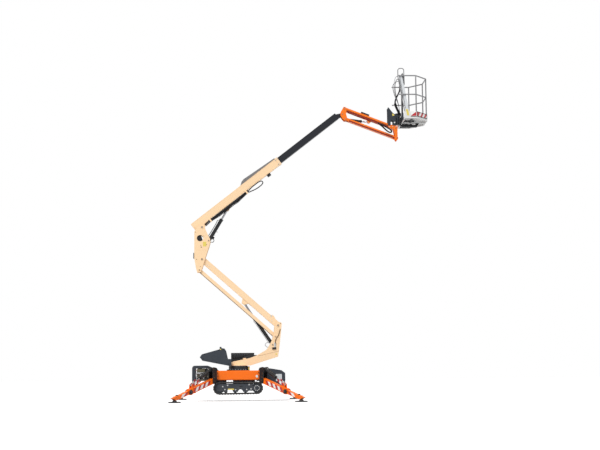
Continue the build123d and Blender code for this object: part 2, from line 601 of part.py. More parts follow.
def main_boom():
    """Outer tube with pivot plates, the cylinder's lugs and wear pads at its mouth."""
    plane = boom_plane()
    w = BOOM_HALF_W
    tube = prism(rectangle_points(BOOM_REAR, BOOM_LOW, BOOM_FRONT, BOOM_HIGH), -w, w, plane)
    tube -= prism(rectangle_points(BOOM_REAR + 60, BOOM_LOW + WALL, BOOM_FRONT + 1, BOOM_HIGH - WALL),
                  -w + WALL, w - WALL, plane)
    side = [(-150, BOOM_LOW + 14), (-60, -20), (-40, -52), (0, -62), (42, -50), (90, -12),
            (300, BOOM_LOW + 14), (300, 150), (-150, 150)]
    tube += both_sides(side, w, w + BOOM_SIDE, plane)
    tube += prism([(-60, BOOM_LOW + 1), (-45, -45), (45, -45), (90, -5), (150, BOOM_LOW + 1)], -w, w,
                  plane)
    x, y = MAIN_TIP
    lug = [(x - 105, BOOM_LOW + 1), (x - 36, y - 30), (x + 30, y - 32), (x + 99, y + 2), (x + 195, y + 48),
           (x + 290, BOOM_LOW + 1)]
    tube += both_sides(lug, BOOM_LUG, BOOM_LUG + 14, plane)
    tube += both_sides_round(x, y, 28, BOOM_LUG + 14, BOOM_LUG + 19, plane)
    mouth = prism(rectangle_points(BOOM_FRONT - MOUTH_LENGTH, BOOM_LOW - 8, BOOM_FRONT, BOOM_HIGH + 8),
                  -w - 8, w + 8, plane)
    mouth -= prism(rectangle_points(BOOM_FRONT - MOUTH_LENGTH - 1, INNER_LOW - PIN_GAP, BOOM_FRONT + 1,
                                    INNER_HIGH + PIN_GAP),
                   -INNER_HALF_W - PIN_GAP, INNER_HALF_W + PIN_GAP, plane)
    tube += mouth
    for x in HOSE_CLIPS:
        saddle = rectangle_points(x - 22, -40, x + 22, BOOM_LOW + 30)
        tube += prism(saddle, -w - HOSE_SADDLE + PIN_GAP, -w + 1, plane)
    tube -= cross_cylinder(0, 0, PIVOT_PIN_R + PIN_GAP, -w - 20, w + 20, plane)
    return tube


def main_tip():
    return along(BOOM_PIVOT, BOOM_ANGLE, *MAIN_TIP)


def boom_cover():
    """Humped cover rail along the top of the outer boom."""
    plane = boom_plane()
    front = BOOM_FRONT - MOUTH_LENGTH - END_GAP
    outline = [(1480, BOOM_HIGH), (1576, BOOM_HIGH + 72), (1667, BOOM_HIGH + 92), (2071, BOOM_HIGH + 67),
               (front, BOOM_HIGH + 34), (front, BOOM_HIGH)]
    return prism(outline, -46, 46, plane)


def boom_hoses():
    """Flat bundle of hoses clipped along the front side of the boom."""
    plane = boom_plane()
    y = BOOM_HALF_W + HOSE_SADDLE + HOSE_R
    hoses = []
    for index in range(HOSE_COUNT):
        rise = (index - (HOSE_COUNT - 1) / 2) * HOSE_PITCH
        route = [plane.from_local_coords((x, across + rise, y)) for x, across in HOSE_ROUTE]
        hoses += tube_path(route, HOSE_R, bend=100).solids()
    return Compound(children=hoses)


def inner_boom():
    plane = boom_plane()
    w = INNER_HALF_W
    tube = prism(rectangle_points(INNER_REAR, INNER_LOW, INNER_FRONT, INNER_HIGH), -w, w, plane)
    tube -= prism(rectangle_points(INNER_REAR - 1, INNER_LOW + WALL, INNER_FRONT - 40,
                                   INNER_HIGH - WALL), -w + WALL, w - WALL, plane)
    tip = plane.to_local_coords(Vector(TIP_PIN[0], 0, TIP_PIN[1]))
    nose = [(INNER_FRONT - 50, INNER_LOW + 12), (tip.X + 10, tip.Y - 42), (tip.X + 42, tip.Y),
            (tip.X + 10, tip.Y + 42), (INNER_FRONT - 50, INNER_HIGH - 12)]
    tube += prism(nose, -40, 40, plane)
    tube -= cross_cylinder(tip.X, tip.Y, JIB_PIN_R + PIN_GAP, -60, 60, plane)
    return tube


# ---------------------------------------------------------------- jib
def tip_bracket():
    """Levelling bracket: two cheeks on the boom's nose that carry both jib bars and their cylinder."""
    lower = shifted(JIB_PIN, JIB_LINK_OFFSET)
    outline = [(2750, 7650), (2745, 7560), (2800, 7480), (2850, 7428), (2905, 7428), (2932, 7460),
               (2920, 7520), (2900, 7600), (2912, 7740), (2890, 7790), (2835, 7800)]
    outer = JIB_CHEEK + 12
    body = both_sides(outline, JIB_CHEEK, outer)
    for pin in (TIP_PIN, JIB_PIN, lower):
        body += cross_cylinder(*pin, JIB_PIN_R, -outer - 6, outer + 6)
    body += both_sides_round(*TIP_PIN, 30, 40 + END_GAP, JIB_CHEEK)
    body += both_sides_round(*JIB_PIN, 30, JIB_HALF_W + END_GAP, JIB_CHEEK)
    body += both_sides_round(*lower, 28, JIB_LINK_INNER + JIB_LINK_PLATE + END_GAP, JIB_CHEEK)
    return body


def jib_upper():
    plane = plane_along(JIB_PIN, HEAD_PIN)
    w = JIB_HALF_W
    d = JIB_HALF_DEPTH
    body = prism(rectangle_points(0, -d, JIB_LENGTH, d), -w, w, plane)
    body += cross_cylinder(0, 0, d, -w, w, plane) + cross_cylinder(JIB_LENGTH, 0, d, -w, w, plane)
    body -= prism(rectangle_points(70, -d + JIB_WALL, JIB_LENGTH - 70, d - JIB_WALL), -w + JIB_WALL,
                  w - JIB_WALL, plane)
    tip = plane.to_local_coords(Vector(JIB_CYLINDER["tip"][0], 0, JIB_CYLINDER["tip"][1]))
    channel = rectangle_points(tip.X - 420, -d - 1, tip.X + 45, -d + JIB_WALL + 1)
    body -= prism(channel, -JIB_LUG, JIB_LUG, plane)
    lug = [(tip.X - 60, -d + 1), (tip.X - 22, tip.Y - 26), (tip.X + 22, tip.Y - 26), (tip.X + 60, -d + 1)]
    body += both_sides(lug, JIB_LUG, w - JIB_WALL, plane)
    body += prism(rectangle_points(500, d, 680, d + 46), -40, 40, plane)
    for x in (0, JIB_LENGTH):
        body -= cross_cylinder(x, 0, JIB_PIN_R + PIN_GAP, -w - 1, w + 1, plane)
    return body


def jib_lower():
    """Lower bar of the jib: two side plates with a belly plate, open on top for the cylinder."""
    start = shifted(JIB_PIN, JIB_LINK_OFFSET)
    end = shifted(HEAD_PIN, JIB_LINK_OFFSET)
    plane = plane_along(start, end)
    w = JIB_LINK_INNER
    outer = w + JIB_LINK_PLATE
    d = JIB_LINK_HALF_DEPTH
    body = both_sides(rectangle_points(0, -d, JIB_LENGTH, d), w, outer, plane)
    for x in (0, JIB_LENGTH):
        body += both_sides_round(x, 0, d, w, outer, plane)
    body += prism(rectangle_points(110, -d, JIB_LENGTH - 90, -d + 8), -w, w, plane)
    for x in (0, JIB_LENGTH):
        body -= cross_cylinder(x, 0, JIB_PIN_R + PIN_GAP, -outer - 1, outer + 1, plane)
    return body


def jib_head():
    """Upright that joins both jib bars and keeps the basket level."""
    upper = HEAD_PIN
    lower = shifted(upper, JIB_LINK_OFFSET)
    x, z = upper
    outline = [(x - 210, HEAD_TOP), (x - 210, z + 24), (x - 60, z - 34), (lower[0] - 50, lower[1] + 60),
               (lower[0] - 40, lower[1] - 45), (lower[0] - 16, lower[1] - 72), (lower[0] + 2, lower[1] - 72),
               (lower[0] + 24, lower[1] - 35), (x + 46, z - 90), (x + 52, HEAD_TOP)]
    outer = JIB_CHEEK + 12
    body = both_sides(outline, JIB_CHEEK, outer)
    for pin, clear in ((upper, JIB_HALF_W), (lower, JIB_LINK_INNER + JIB_LINK_PLATE)):
        body += cross_cylinder(*pin, JIB_PIN_R, -outer - 6, outer + 6)
        body += both_sides_round(*pin, 28, clear + END_GAP, JIB_CHEEK)
    return body


def head_mast():
    """Plates over the jib head with the upright turning actuator of the basket."""
    x = HEAD_PIN[0]
    left, step, right = x - 210, x - 70, TURN_X - ACTUATOR_R - 5
    shoulder = ACTUATOR_HIGH + 28
    outline = [(left, HEAD_TOP), (left, shoulder), (left - 4, shoulder + 138), (left + 22, shoulder + 154),
               (step, shoulder), (step + 40, ACTUATOR_HIGH), (right, ACTUATOR_HIGH), (right, HEAD_TOP),
               (step, HEAD_TOP), (step, HEAD_TOP + 143), (step - 66, HEAD_TOP + 143), (step - 66, HEAD_TOP)]
    body = both_sides(outline, JIB_CHEEK, JIB_CHEEK + 12)
    body += Pos(TURN_X, 0, ACTUATOR_LOW) * Cylinder(ACTUATOR_R, ACTUATOR_HIGH - ACTUATOR_LOW, align=BOTTOM)
    block_low, block_high = ACTUATOR_LOW + 150, ACTUATOR_HIGH - 15
    body += rounded_box(x - 90, right, -JIB_CHEEK, JIB_CHEEK, block_low, block_high)
    return body + rounded_box(right - 1, TURN_X - 20, -44, 44, block_low, block_high)


def basket_bracket():
    """Lugs above and below the actuator, their upright plate and the beam under the floor."""
    low, high = ACTUATOR_LOW - END_GAP, ACTUATOR_HIGH + END_GAP
    under, over = low - TURN_LUG, high + TURN_LUG
    half = ACTUATOR_R + 5
    body = Pos(TURN_X, 0, under) * Cylinder(half, TURN_LUG, align=BOTTOM)
    body += Pos(TURN_X, 0, high) * Cylinder(half, TURN_LUG, align=BOTTOM)
    body += rounded_box(TURN_X, BASKET_X0, -half, half, under, low)
    body += rounded_box(TURN_X, BASKET_X0, -half, half, high, over)
    body += rounded_box(TURN_X + half, BASKET_X0, -70, 70, under, over)
    seat = FLOOR_Z - FRAME_DEPTH
    beam = [(TURN_X + half, under), (TURN_X + half + 60, under - 60), (BASKET_X0 + 420, under - 60),
            (BASKET_X0 + 490, seat), (BASKET_X0 + 410, seat), (BASKET_X0 + 380, under)]
    return body + prism(beam, -45, 45)


# ---------------------------------------------------------------- basket
def basket_plan(grow=0):
    return [(BASKET_X0 - grow, -BASKET_HALF_Y - grow), (BASKET_CORNER_X, -BASKET_HALF_Y - grow),
            (BASKET_X1 + grow, -BASKET_CORNER_Y), (BASKET_X1 + grow, BASKET_CORNER_Y),
            (BASKET_CORNER_X, BASKET_HALF_Y + grow), (BASKET_X0 - grow, BASKET_HALF_Y + grow)]


def basket_floor():
    """Floor tray on its frame, with the beam that takes it to the turning bearing."""
    face = make_face(Polyline(*basket_plan(), close=True))
    tray = extrude(Plane.XY.offset(FLOOR_Z - 18) * face, amount=18)
    ring = face - offset(face, -40)
    frame = extrude(Plane.XY.offset(FLOOR_Z - FRAME_DEPTH) * ring, amount=41)
    boards = face - offset(face, -SKIRT)
    skirt = extrude(Plane.XY.offset(FLOOR_Z - 1) * boards, amount=TOE_BOARD)
    skirt -= rounded_box(BASKET_X0 - 1, BASKET_X0 + 20, -BASKET_HALF_Y + 20, BASKET_HALF_Y - 20, FLOOR_Z,
                         RAIL_Z)
    beam = rounded_box(BASKET_X0 + 20, BASKET_X1 - 20, -50, 50, FLOOR_Z - FRAME_DEPTH, FLOOR_Z - 17)
    return tray + frame + skirt + beam


def tube_path(points, radius, bend=45):
    """Round tube along a bent line."""
    line = FilletPolyline(*points, radius=bend)
    start = Plane(origin=line @ 0, z_dir=line % 0)
    return sweep(start * Circle(radius), path=line)


def basket_rails():
    """Top rail, middle rail and posts."""
    inset = SKIRT + RAIL_R + PIN_GAP
    slant = hypot(BASKET_X1 - BASKET_CORNER_X, BASKET_HALF_Y - BASKET_CORNER_Y)
    run_x = (BASKET_X1 - BASKET_CORNER_X) / slant
    run_y = (BASKET_HALF_Y - BASKET_CORNER_Y) / slant
    y = BASKET_HALF_Y - inset
    x1 = BASKET_X1 - inset
    xc = BASKET_CORNER_X - inset * (1 - run_x) / run_y
    c = BASKET_CORNER_Y - inset * (1 - run_y) / run_x
    x0 = BASKET_X0 - 150
    low = FLOOR_Z + PIN_GAP
    parts = []
    for z in (RAIL_Z - RAIL_R, FLOOR_Z + MID_RAIL * RAIL_HEIGHT):
        parts.append(tube_path([(x0, -y, z), (xc, -y, z), (x1, -c, z), (x1, c, z), (xc, y, z),
                                (x0, y, z)], RAIL_R))
    for x, side in ((xc, -y), (x1, -c), (x1, c), (xc, y)):
        parts.append(Pos(x, side, low) * Cylinder(RAIL_R, RAIL_Z - RAIL_R - low, align=BOTTOM))
    parts.append(basket_hoop())
    body = parts[0]
    for piece in parts[1:]:
        body += piece
    return body


def column_inner():
    """Inner face of the leaning column, behind the rails."""
    return BASKET_HALF_Y - SKIRT - 2 * RAIL_R - 2 * PIN_GAP - COLUMN_THICK


def basket_hoop():
    """Leaning tube beside the column that rises over the rail and turns down again."""
    y = -column_inner() - COLUMN_THICK + HOOP_R - 3
    top = RAIL_Z + HOOP_RISE
    points = [(BASKET_X0 + 42, y, FLOOR_Z + PIN_GAP + 2), (BASKET_X0 - 148, y, RAIL_Z - 40),
              (BASKET_X0 - 148, y, top), (BASKET_X0 + 12, y, top), (BASKET_X0 + 12, y, RAIL_Z - 160)]
    return tube_path(points, HOOP_R, bend=60)


def basket_columns():
    """Leaning flat column at the front inner corner, beside the hoop's tube."""
    inner = column_inner()
    outline = [(BASKET_X0 + 62, FLOOR_Z + PIN_GAP), (BASKET_X0 + 164, FLOOR_Z + PIN_GAP),
               (BASKET_X0 - 40, RAIL_Z), (BASKET_X0 - 126, RAIL_Z)]
    return prism(outline, -inner - COLUMN_THICK, -inner)


def control_console():
    """Control box at rail height on its stand."""
    x = BASKET_X0 - 5
    low, high = RAIL_Z - 145, RAIL_Z + 140
    box = rounded_box(x, x + 100, -CONSOLE_HALF_Y, CONSOLE_HALF_Y, low, high)
    box = chamfer(box.edges().filter_by(Axis.Y).sort_by(Axis.Z)[-2:], 22)
    return box + rounded_box(x + 30, x + 60, -70, 70, FLOOR_Z + PIN_GAP, low + 1)


# ---------------------------------------------------------------- assembly
CORNERS = {"front_left": (-1, -1), "front_right": (1, -1), "back_left": (-1, 1), "back_right": (1, 1)}


def build_nodes():
    nodes = {
        "chassis_frame": chassis_frame(),
        "corner_brackets": corner_brackets(),
        "slew_base": slew_base(),
        "engine_hood": engine_hood(),
        "engine_block": engine_block(),
        "right_hood": right_hood(),
        "turret": turret(),
        "tail_cover": tail_cover(),
        "valve_box": valve_box(),
        "lower_beam": lower_beam(),
        "lower_link": lower_link(),
        "knuckle": knuckle(),
        "main_boom": main_boom(),
        "boom_cover": boom_cover(),
        "boom_hoses": boom_hoses(),
        "inner_boom": inner_boom(),
        "tip_bracket": tip_bracket(),
        "jib_upper": jib_upper(),
        "jib_lower": jib_lower(),
        "jib_head": jib_head(),
        "head_mast": head_mast(),
        "basket_bracket": basket_bracket(),
        "basket_floor": basket_floor(),
        "basket_rails": basket_rails(),
        "basket_columns": basket_columns(),
        "control_console": control_console(),
    }
    for name, sign in (("front", -1), ("back", 1)):
        nodes["track_belt_" + name] = track_belt(sign)
        nodes["track_frame_" + name] = track_frame(sign)
        nodes["track_wheels_" + name] = track_wheels(sign)
    lower = cylinder_pair(pin_r=22, tip_half=BEAM_LUG - END_GAP, **LOWER_CYLINDER)
    nodes["lower_cylinder_barrel"], nodes["lower_cylinder_rod"] = lower
    main = cylinder_pair(pin_r=22, tip_half=BOOM_LUG - END_GAP,
                         **{**MAIN_CYLINDER, "tip": main_tip()})
    nodes["main_cylinder_barrel"], nodes["main_cylinder_rod"] = main
    jib_base = shifted(JIB_PIN, JIB_LINK_OFFSET)
    jib = cylinder_pair(pin_r=JIB_PIN_R, tip_half=JIB_LUG - END_GAP,
                        **{**JIB_CYLINDER, "base": jib_base})
    nodes["jib_cylinder_barrel"], nodes["jib_cylinder_rod"] = jib
    tube, extension, foot = leg_tube(), leg_extension(), leg_foot()
    barrel, rod = leg_cylinder()
    for name, (side_x, side_y) in CORNERS.items():
        nodes["leg_" + name] = place_leg(tube, side_x, side_y)
        nodes["leg_extension_" + name] = place_leg(extension, side_x, side_y)
        nodes["leg_foot_" + name] = place_leg(foot, side_x, side_y)
        nodes["leg_cylinder_barrel_" + name] = place_leg(barrel, side_x, side_y)
        nodes["leg_cylinder_rod_" + name] = place_leg(rod, side_x, side_y)
    return nodes


os.makedirs("parts", exist_ok=True)
for node_name, node_shape in build_nodes().items():
    export_step(node_shape, "parts/" + node_name + ".step")
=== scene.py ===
"""Looks of a tracked boom lift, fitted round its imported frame.

Metres, +X towards the basket, +Z up, -Y the front.
"""
from math import cos, hypot, pi, radians, sin

import bmesh
import bpy
from mathutils import Matrix, Vector


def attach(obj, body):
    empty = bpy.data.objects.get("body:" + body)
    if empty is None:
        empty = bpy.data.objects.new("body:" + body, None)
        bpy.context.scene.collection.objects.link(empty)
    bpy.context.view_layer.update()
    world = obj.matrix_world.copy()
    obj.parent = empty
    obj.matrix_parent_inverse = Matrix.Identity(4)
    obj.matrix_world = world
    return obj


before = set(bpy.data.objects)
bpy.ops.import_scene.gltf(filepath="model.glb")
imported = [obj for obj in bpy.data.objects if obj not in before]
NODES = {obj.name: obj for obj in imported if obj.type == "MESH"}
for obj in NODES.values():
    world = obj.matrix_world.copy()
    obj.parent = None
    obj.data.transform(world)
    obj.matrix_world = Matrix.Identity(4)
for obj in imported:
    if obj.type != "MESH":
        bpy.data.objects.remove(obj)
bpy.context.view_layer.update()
UP = Vector((0, 0, 1))
CORNERS = {"front_left": (-1, -1), "front_right": (1, -1), "back_left": (-1, 1), "back_right": (1, 1)}


def placed(name, data):
    """New object in the scene."""
    thing = bpy.data.objects.new(name, data)
    bpy.context.collection.objects.link(thing)
    return thing


# ---- camera, light and floor
def make_camera():
    yaw, tilt, roll = radians(3.0715), radians(7.259), radians(0.405)
    forward = Vector((sin(yaw) * cos(tilt), cos(yaw) * cos(tilt), sin(tilt)))
    level = Vector((cos(yaw), -sin(yaw), 0))
    upright = level.cross(forward)
    right = level * cos(roll) - upright * sin(roll)
    top = upright * cos(roll) + level * sin(roll)
    camera = placed("camera", bpy.data.cameras.new("camera"))
    camera.matrix_world = Matrix((right, top, -forward)).transposed().to_4x4()
    camera.location = (0.029, -30.036, 0.774)
    camera.data.lens = 68.46
    camera.data.sensor_width = 36
    camera.data.clip_end = 300
    bpy.context.scene.camera = camera


class Graph:
    """Short way to place and join shader nodes."""

    def __init__(self, tree):
        self.tree = tree

    def add(self, kind, inputs=None, **settings):
        node = self.tree.nodes.new(kind)
        for key, value in settings.items():
            setattr(node, key, value)
        for key, value in (inputs or {}).items():
            if isinstance(value, bpy.types.NodeSocket):
                self.tree.links.new(value, node.inputs[key])
            else:
                node.inputs[key].default_value = value
        return node

    def math(self, operation, first, second=0.0, clamp=False):
        return self.add("ShaderNodeMath", {0: first, 1: second}, operation=operation,
                        use_clamp=clamp).outputs[0]

    def mix(self, share, first, second):
        return self.add("ShaderNodeMix", {0: share, 6: first, 7: second}, data_type="RGBA").outputs[2]

    def remap(self, value, low, high, to_low=0.0, to_high=1.0):
        ends = {"From Min": low, "From Max": high, "To Min": to_low, "To Max": to_high}
        return self.add("ShaderNodeMapRange", {"Value": value, **ends}).outputs[0]

    def noise(self, scale, detail, roughness):
        """Noise that keeps its place on the piece."""
        place = self.add("ShaderNodeTexCoord").outputs["Object"]
        values = {"Vector": place, "Scale": scale, "Detail": detail, "Roughness": roughness}
        return self.add("ShaderNodeTexNoise", values).outputs[0]

    def link(self, source, target):
        self.tree.links.new(source, target)


def bare_graph(owner):
    """Emptied nodes of a material or the world."""
    owner.use_nodes = True
    owner.node_tree.nodes.clear()
    return Graph(owner.node_tree)


def lit_or_seen(graph, lit, seen_as):
    """One shader for the light that falls on things, another for camera, mirror and glass rays."""
    path = graph.add("ShaderNodeLightPath")
    seen = graph.math("MAXIMUM", path.outputs["Is Camera Ray"], path.outputs["Is Glossy Ray"])
    seen = graph.math("MAXIMUM", seen, path.outputs["Is Transmission Ray"])
    both = graph.add("ShaderNodeMixShader", {0: seen, 1: lit.outputs[0], 2: seen_as.outputs[0]})
    return both.outputs[0]


def make_world():
    world = bpy.data.worlds.new("studio")
    bpy.context.scene.world = world
    graph = bare_graph(world)
    place = graph.add("ShaderNodeTexCoord").outputs["Generated"]
    height = graph.add("ShaderNodeSeparateXYZ", {0: place}).outputs["Z"]
    strength = graph.remap(height, -0.3, 0.9, 0.46, 1.1)
    lamp = graph.add("ShaderNodeBackground", {"Color": (0.97, 0.985, 1, 1), "Strength": strength})
    white = graph.add("ShaderNodeBackground", {"Color": (1, 1, 1, 1), "Strength": 1.0})
    graph.add("ShaderNodeOutputWorld", {0: lit_or_seen(graph, lamp, white)})


def make_lights():
    sun = placed("key_light", bpy.data.lights.new("key_light", "SUN"))
    sun.data.energy = 1.7
    sun.data.angle = radians(20)
    sun.data.color = (1, 0.985, 0.96)
    sun.rotation_mode = "QUATERNION"
    sun.rotation_quaternion = Vector((0.35, 0.72, -0.95)).to_track_quat("-Z", "Y")


def make_floor():
    mesh = bpy.data.meshes.new("floor")
    reach = 60
    mesh.from_pydata([(-reach, -reach, 0), (reach, -reach, 0), (reach, reach, 0), (-reach, reach, 0)], [],
                     [(0, 1, 2, 3)])
    floor = placed("floor", mesh)
    material = bpy.data.materials.new("studio_floor")
    graph = bare_graph(material)
    matte = graph.add("ShaderNodeBsdfDiffuse", {"Color": (0.42, 0.42, 0.42, 1)})
    pale = graph.add("ShaderNodeBsdfDiffuse", {"Color": (0.62, 0.62, 0.62, 1)})
    glow = graph.add("ShaderNodeEmission", {"Color": (1, 1, 1, 1), "Strength": 0.42})
    shown = graph.add("ShaderNodeAddShader", {0: pale.outputs[0], 1: glow.outputs[0]})
    graph.add("ShaderNodeOutputMaterial", {0: lit_or_seen(graph, matte, shown)})
    mesh.materials.append(material)


# ---- effects that finishes share
GROUPS = {}


def new_group(name, inputs, outputs):
    """Empty effect with its sockets: {name: default} going in, {name: kind} coming out."""
    tree = bpy.data.node_groups.new(name, "ShaderNodeTree")
    for key, value in inputs.items():
        made = tree.interface.new_socket(key, in_out="INPUT", socket_type="NodeSocketFloat")
        made.default_value = value
    for key, kind in outputs.items():
        tree.interface.new_socket(key, in_out="OUTPUT", socket_type="NodeSocket" + kind)
    GROUPS[name] = tree
    graph = Graph(tree)
    return graph, graph.add("NodeGroupInput").outputs, graph.add("NodeGroupOutput").inputs


def edge_wear_group():
    """Mask of the sharp edges, broken up by noise."""
    graph, given, result = new_group("edge_wear", {"Width": 0.004, "Amount": 0.5, "Patch Scale": 9.0},
                                     {"Mask": "Float"})
    soft = graph.add("ShaderNodeBevel", {"Radius": given["Width"]}, samples=4).outputs[0]
    hard = graph.add("ShaderNodeNewGeometry").outputs["Normal"]
    likeness = graph.add("ShaderNodeVectorMath", {0: soft, 1: hard}, operation="DOT_PRODUCT")
    edge = graph.remap(likeness.outputs["Value"], 0.995, 0.86)
    patch = graph.remap(graph.noise(given["Patch Scale"], 5.0, 0.7), 0.5, 0.66)
    mask = graph.math("MULTIPLY", edge, patch)
    graph.link(graph.math("MULTIPLY", mask, given["Amount"], clamp=True), result["Mask"])


def mottle_group():
    """Slow change of tone over a coat or a casting, about 1."""
    graph, given, result = new_group("mottle", {"Scale": 3.0, "Depth": 0.08}, {"Tone": "Float"})
    cloud = graph.noise(given["Scale"], 6.0, 0.6)
    swing = graph.math("MULTIPLY", graph.math("SUBTRACT", cloud, 0.5), given["Depth"])
    graph.link(graph.math("ADD", swing, 1.0), result["Tone"])


def dust_group():
    """Mask of the dust that settles on upward faces."""
    graph, given, result = new_group("settled_dust", {"Amount": 0.3, "Scale": 5.0}, {"Mask": "Float"})
    lean = graph.add("ShaderNodeNewGeometry").outputs["Normal"]
    upward = graph.add("ShaderNodeSeparateXYZ", {0: lean}).outputs["Z"]
    upward = graph.remap(upward, -0.2, 1.0, 0.25)
    cloud = graph.remap(graph.noise(given["Scale"], 8.0, 0.72), 0.42, 0.75)
    mask = graph.math("MULTIPLY", upward, cloud)
    graph.link(graph.math("MULTIPLY", mask, given["Amount"], clamp=True), result["Mask"])


def skin_group():
    """Fine unevenness of a skin: orange peel, moulded plastic, casting or rubber."""
    graph, given, result = new_group("skin", {"Scale": 350.0, "Depth": 0.2, "Height": 0.0006},
                                     {"Normal": "Vector"})
    grain = graph.noise(given["Scale"], 3.0, 0.55)
    values = {"Strength": given["Depth"], "Distance": given["Height"], "Height": grain}
    graph.link(graph.add("ShaderNodeBump", values).outputs[0], result["Normal"])


def place_group(graph, name, values):
    return graph.add("ShaderNodeGroup", values, node_tree=GROUPS[name])


DUST_COLOUR = (0.52, 0.47, 0.4, 1)


def finish(name, colour, roughness, metal=0.0, coat=0.0, mottle=0.08, skin=0.15, skin_scale=350.0,
           skin_height=0.0006, wear=0.0, wear_colour=(0.3, 0.29, 0.28), dust=0.0, shine=0.5):
    """One surface finish: its coat, tone, worn edges, dust and fine skin."""
    material = bpy.data.materials.new(name)
    graph = bare_graph(material)
    tone = place_group(graph, "mottle", {"Depth": mottle}).outputs[0]
    tinted = graph.add("ShaderNodeVectorMath", {0: colour, "Scale": tone}, operation="SCALE").outputs[0]
    rough = graph.math("MULTIPLY", tone, roughness)
    if wear:
        mask = place_group(graph, "edge_wear", {"Amount": wear}).outputs[0]
        tinted = graph.mix(mask, tinted, (*wear_colour, 1))
        rough = graph.math("ADD", rough, graph.math("MULTIPLY", mask, 0.15))
    if dust:
        mask = place_group(graph, "settled_dust", {"Amount": dust}).outputs[0]
        tinted = graph.mix(mask, tinted, DUST_COLOUR)
        rough = graph.math("ADD", rough, graph.math("MULTIPLY", mask, 0.3), clamp=True)
    grain = place_group(graph, "skin", {"Scale": skin_scale, "Depth": skin, "Height": skin_height})
    shader = graph.add("ShaderNodeBsdfPrincipled", {
        "Base Color": tinted, "Roughness": rough, "Metallic": metal, "Coat Weight": coat,
        "Coat Roughness": 0.12, "Specular IOR Level": shine, "Normal": grain.outputs["Normal"]})
    graph.add("ShaderNodeOutputMaterial", {0: shader.outputs[0]})
    return material


def make_finishes():
    for make_group in (edge_wear_group, mottle_group, dust_group, skin_group):
        make_group()
    paint = dict(roughness=0.4, coat=0.06, skin=0.12, skin_scale=420, mottle=0.05, shine=0.3)
    plastic = dict(roughness=0.62, skin=0.35, skin_scale=900, skin_height=0.0004, mottle=0.12, shine=0.3)
    return {
        "orange": finish("orange_paint", (1.0, 0.172, 0.001), wear=0.5, dust=0.03, **paint),
        "jib_orange": finish("jib_orange_paint", (1.0, 0.2, 0.006), wear=0.5, dust=0.02, **paint),
        "cream": finish("cream_paint", (0.98, 0.7, 0.43), wear=0.3, wear_colour=(0.5, 0.4, 0.28),
            dust=0.03, **paint),
        # painted shade: dark red for the shaded lower band along the jib bars
        "shade_red": finish("painted_shade_red", (0.26, 0.014, 0.006), wear=0.2, **paint),
        "navy": finish("navy_paint", (0.012, 0.014, 0.02), 0.34, coat=0.1, wear=0.6, shine=0.25,
            wear_colour=(0.2, 0.2, 0.21), mottle=0.15),
        "black": finish("black_paint", (0.009, 0.01, 0.012), 0.45, wear=0.6, shine=0.3,
            wear_colour=(0.16, 0.16, 0.16), dust=0.08, mottle=0.2),
        "slate": finish("slate_plastic", (0.033, 0.041, 0.054), dust=0.06, **plastic),
        "slate_steel": finish("slate_steel", (0.034, 0.041, 0.052), 0.5, wear=0.7, dust=0.14,
            mottle=0.2, shine=0.3),
        "mount_slate": finish("mount_slate", (0.034, 0.041, 0.051), 0.5, wear=0.3, dust=0.03,
            mottle=0.15, shine=0.25),
        "cover_grey": finish("cover_grey", (0.19, 0.185, 0.19), dust=0.05, **plastic),
        "rubber": finish("track_rubber", (0.028, 0.028, 0.03), 0.85, skin=0.6, skin_scale=260,
            skin_height=0.001, wear=0.75, wear_colour=(0.22, 0.21, 0.2), dust=0.4, mottle=0.3),
        "hose": finish("hose_rubber", (0.009, 0.009, 0.011), 0.55, skin=0.2, skin_scale=700,
            shine=0.2),
        "pale_hose": finish("pale_hose", (0.4, 0.4, 0.42), 0.45, skin=0.1),
        "chrome": finish("rod_chrome", (0.3, 0.305, 0.325), 0.2, metal=1.0, skin=0.03,
            mottle=0.04),
        "zinc": finish("zinc_plate", (0.55, 0.55, 0.54), 0.38, metal=0.9, skin=0.1, mottle=0.2),
        "silver": finish("silver_tube", (0.23, 0.23, 0.238), 0.36, metal=0.5, skin=0.12,
            mottle=0.2, wear=0.25, wear_colour=(0.5, 0.5, 0.51)),
        "column_white": finish("column_white", (0.68, 0.7, 0.72), 0.42, coat=0.1, mottle=0.06),
        "white": finish("white_paint", (0.86, 0.86, 0.84), 0.4, coat=0.2, mottle=0.04),
        "red": finish("red_paint", (0.48, 0.012, 0.02), 0.38, coat=0.2, mottle=0.08),
        "label_yellow": finish("blank_yellow_label", (0.78, 0.62, 0.12), 0.5, mottle=0.06),
        "engine": finish("engine_casting", (0.12, 0.115, 0.085), 0.6, metal=0.3, skin=0.5,
            skin_scale=180, skin_height=0.0015, mottle=0.3, dust=0.25),
        "olive": finish("olive_cover", (0.11, 0.1, 0.055), 0.5, mottle=0.2, skin=0.3),
        "floor_plate": finish("floor_plate", (0.74, 0.74, 0.73), 0.5, mottle=0.1),
        "grey_tube": finish("grey_tube", (0.1, 0.105, 0.115), 0.4, metal=0.4, mottle=0.15),
        "label_pale": finish("blank_pale_label", (0.62, 0.66, 0.68), 0.5, mottle=0.06),
        "pin_brown": finish("greased_pin", (0.16, 0.09, 0.04), 0.4, metal=0.6, mottle=0.3),
    }


# ---- building pieces
SEAT = 0.0003  # clearance of a thin piece from what it lies on
PLATE = 0.0012  # thickness of a label or a painted stripe
WASHER_HEIGHT = 0.3  # a washer's height over its bolt head's
WASHER_REACH = 1.45  # a washer's radius over its bolt head's


def settle(piece, body):
    """The body a piece rides on."""
    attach(piece, body)


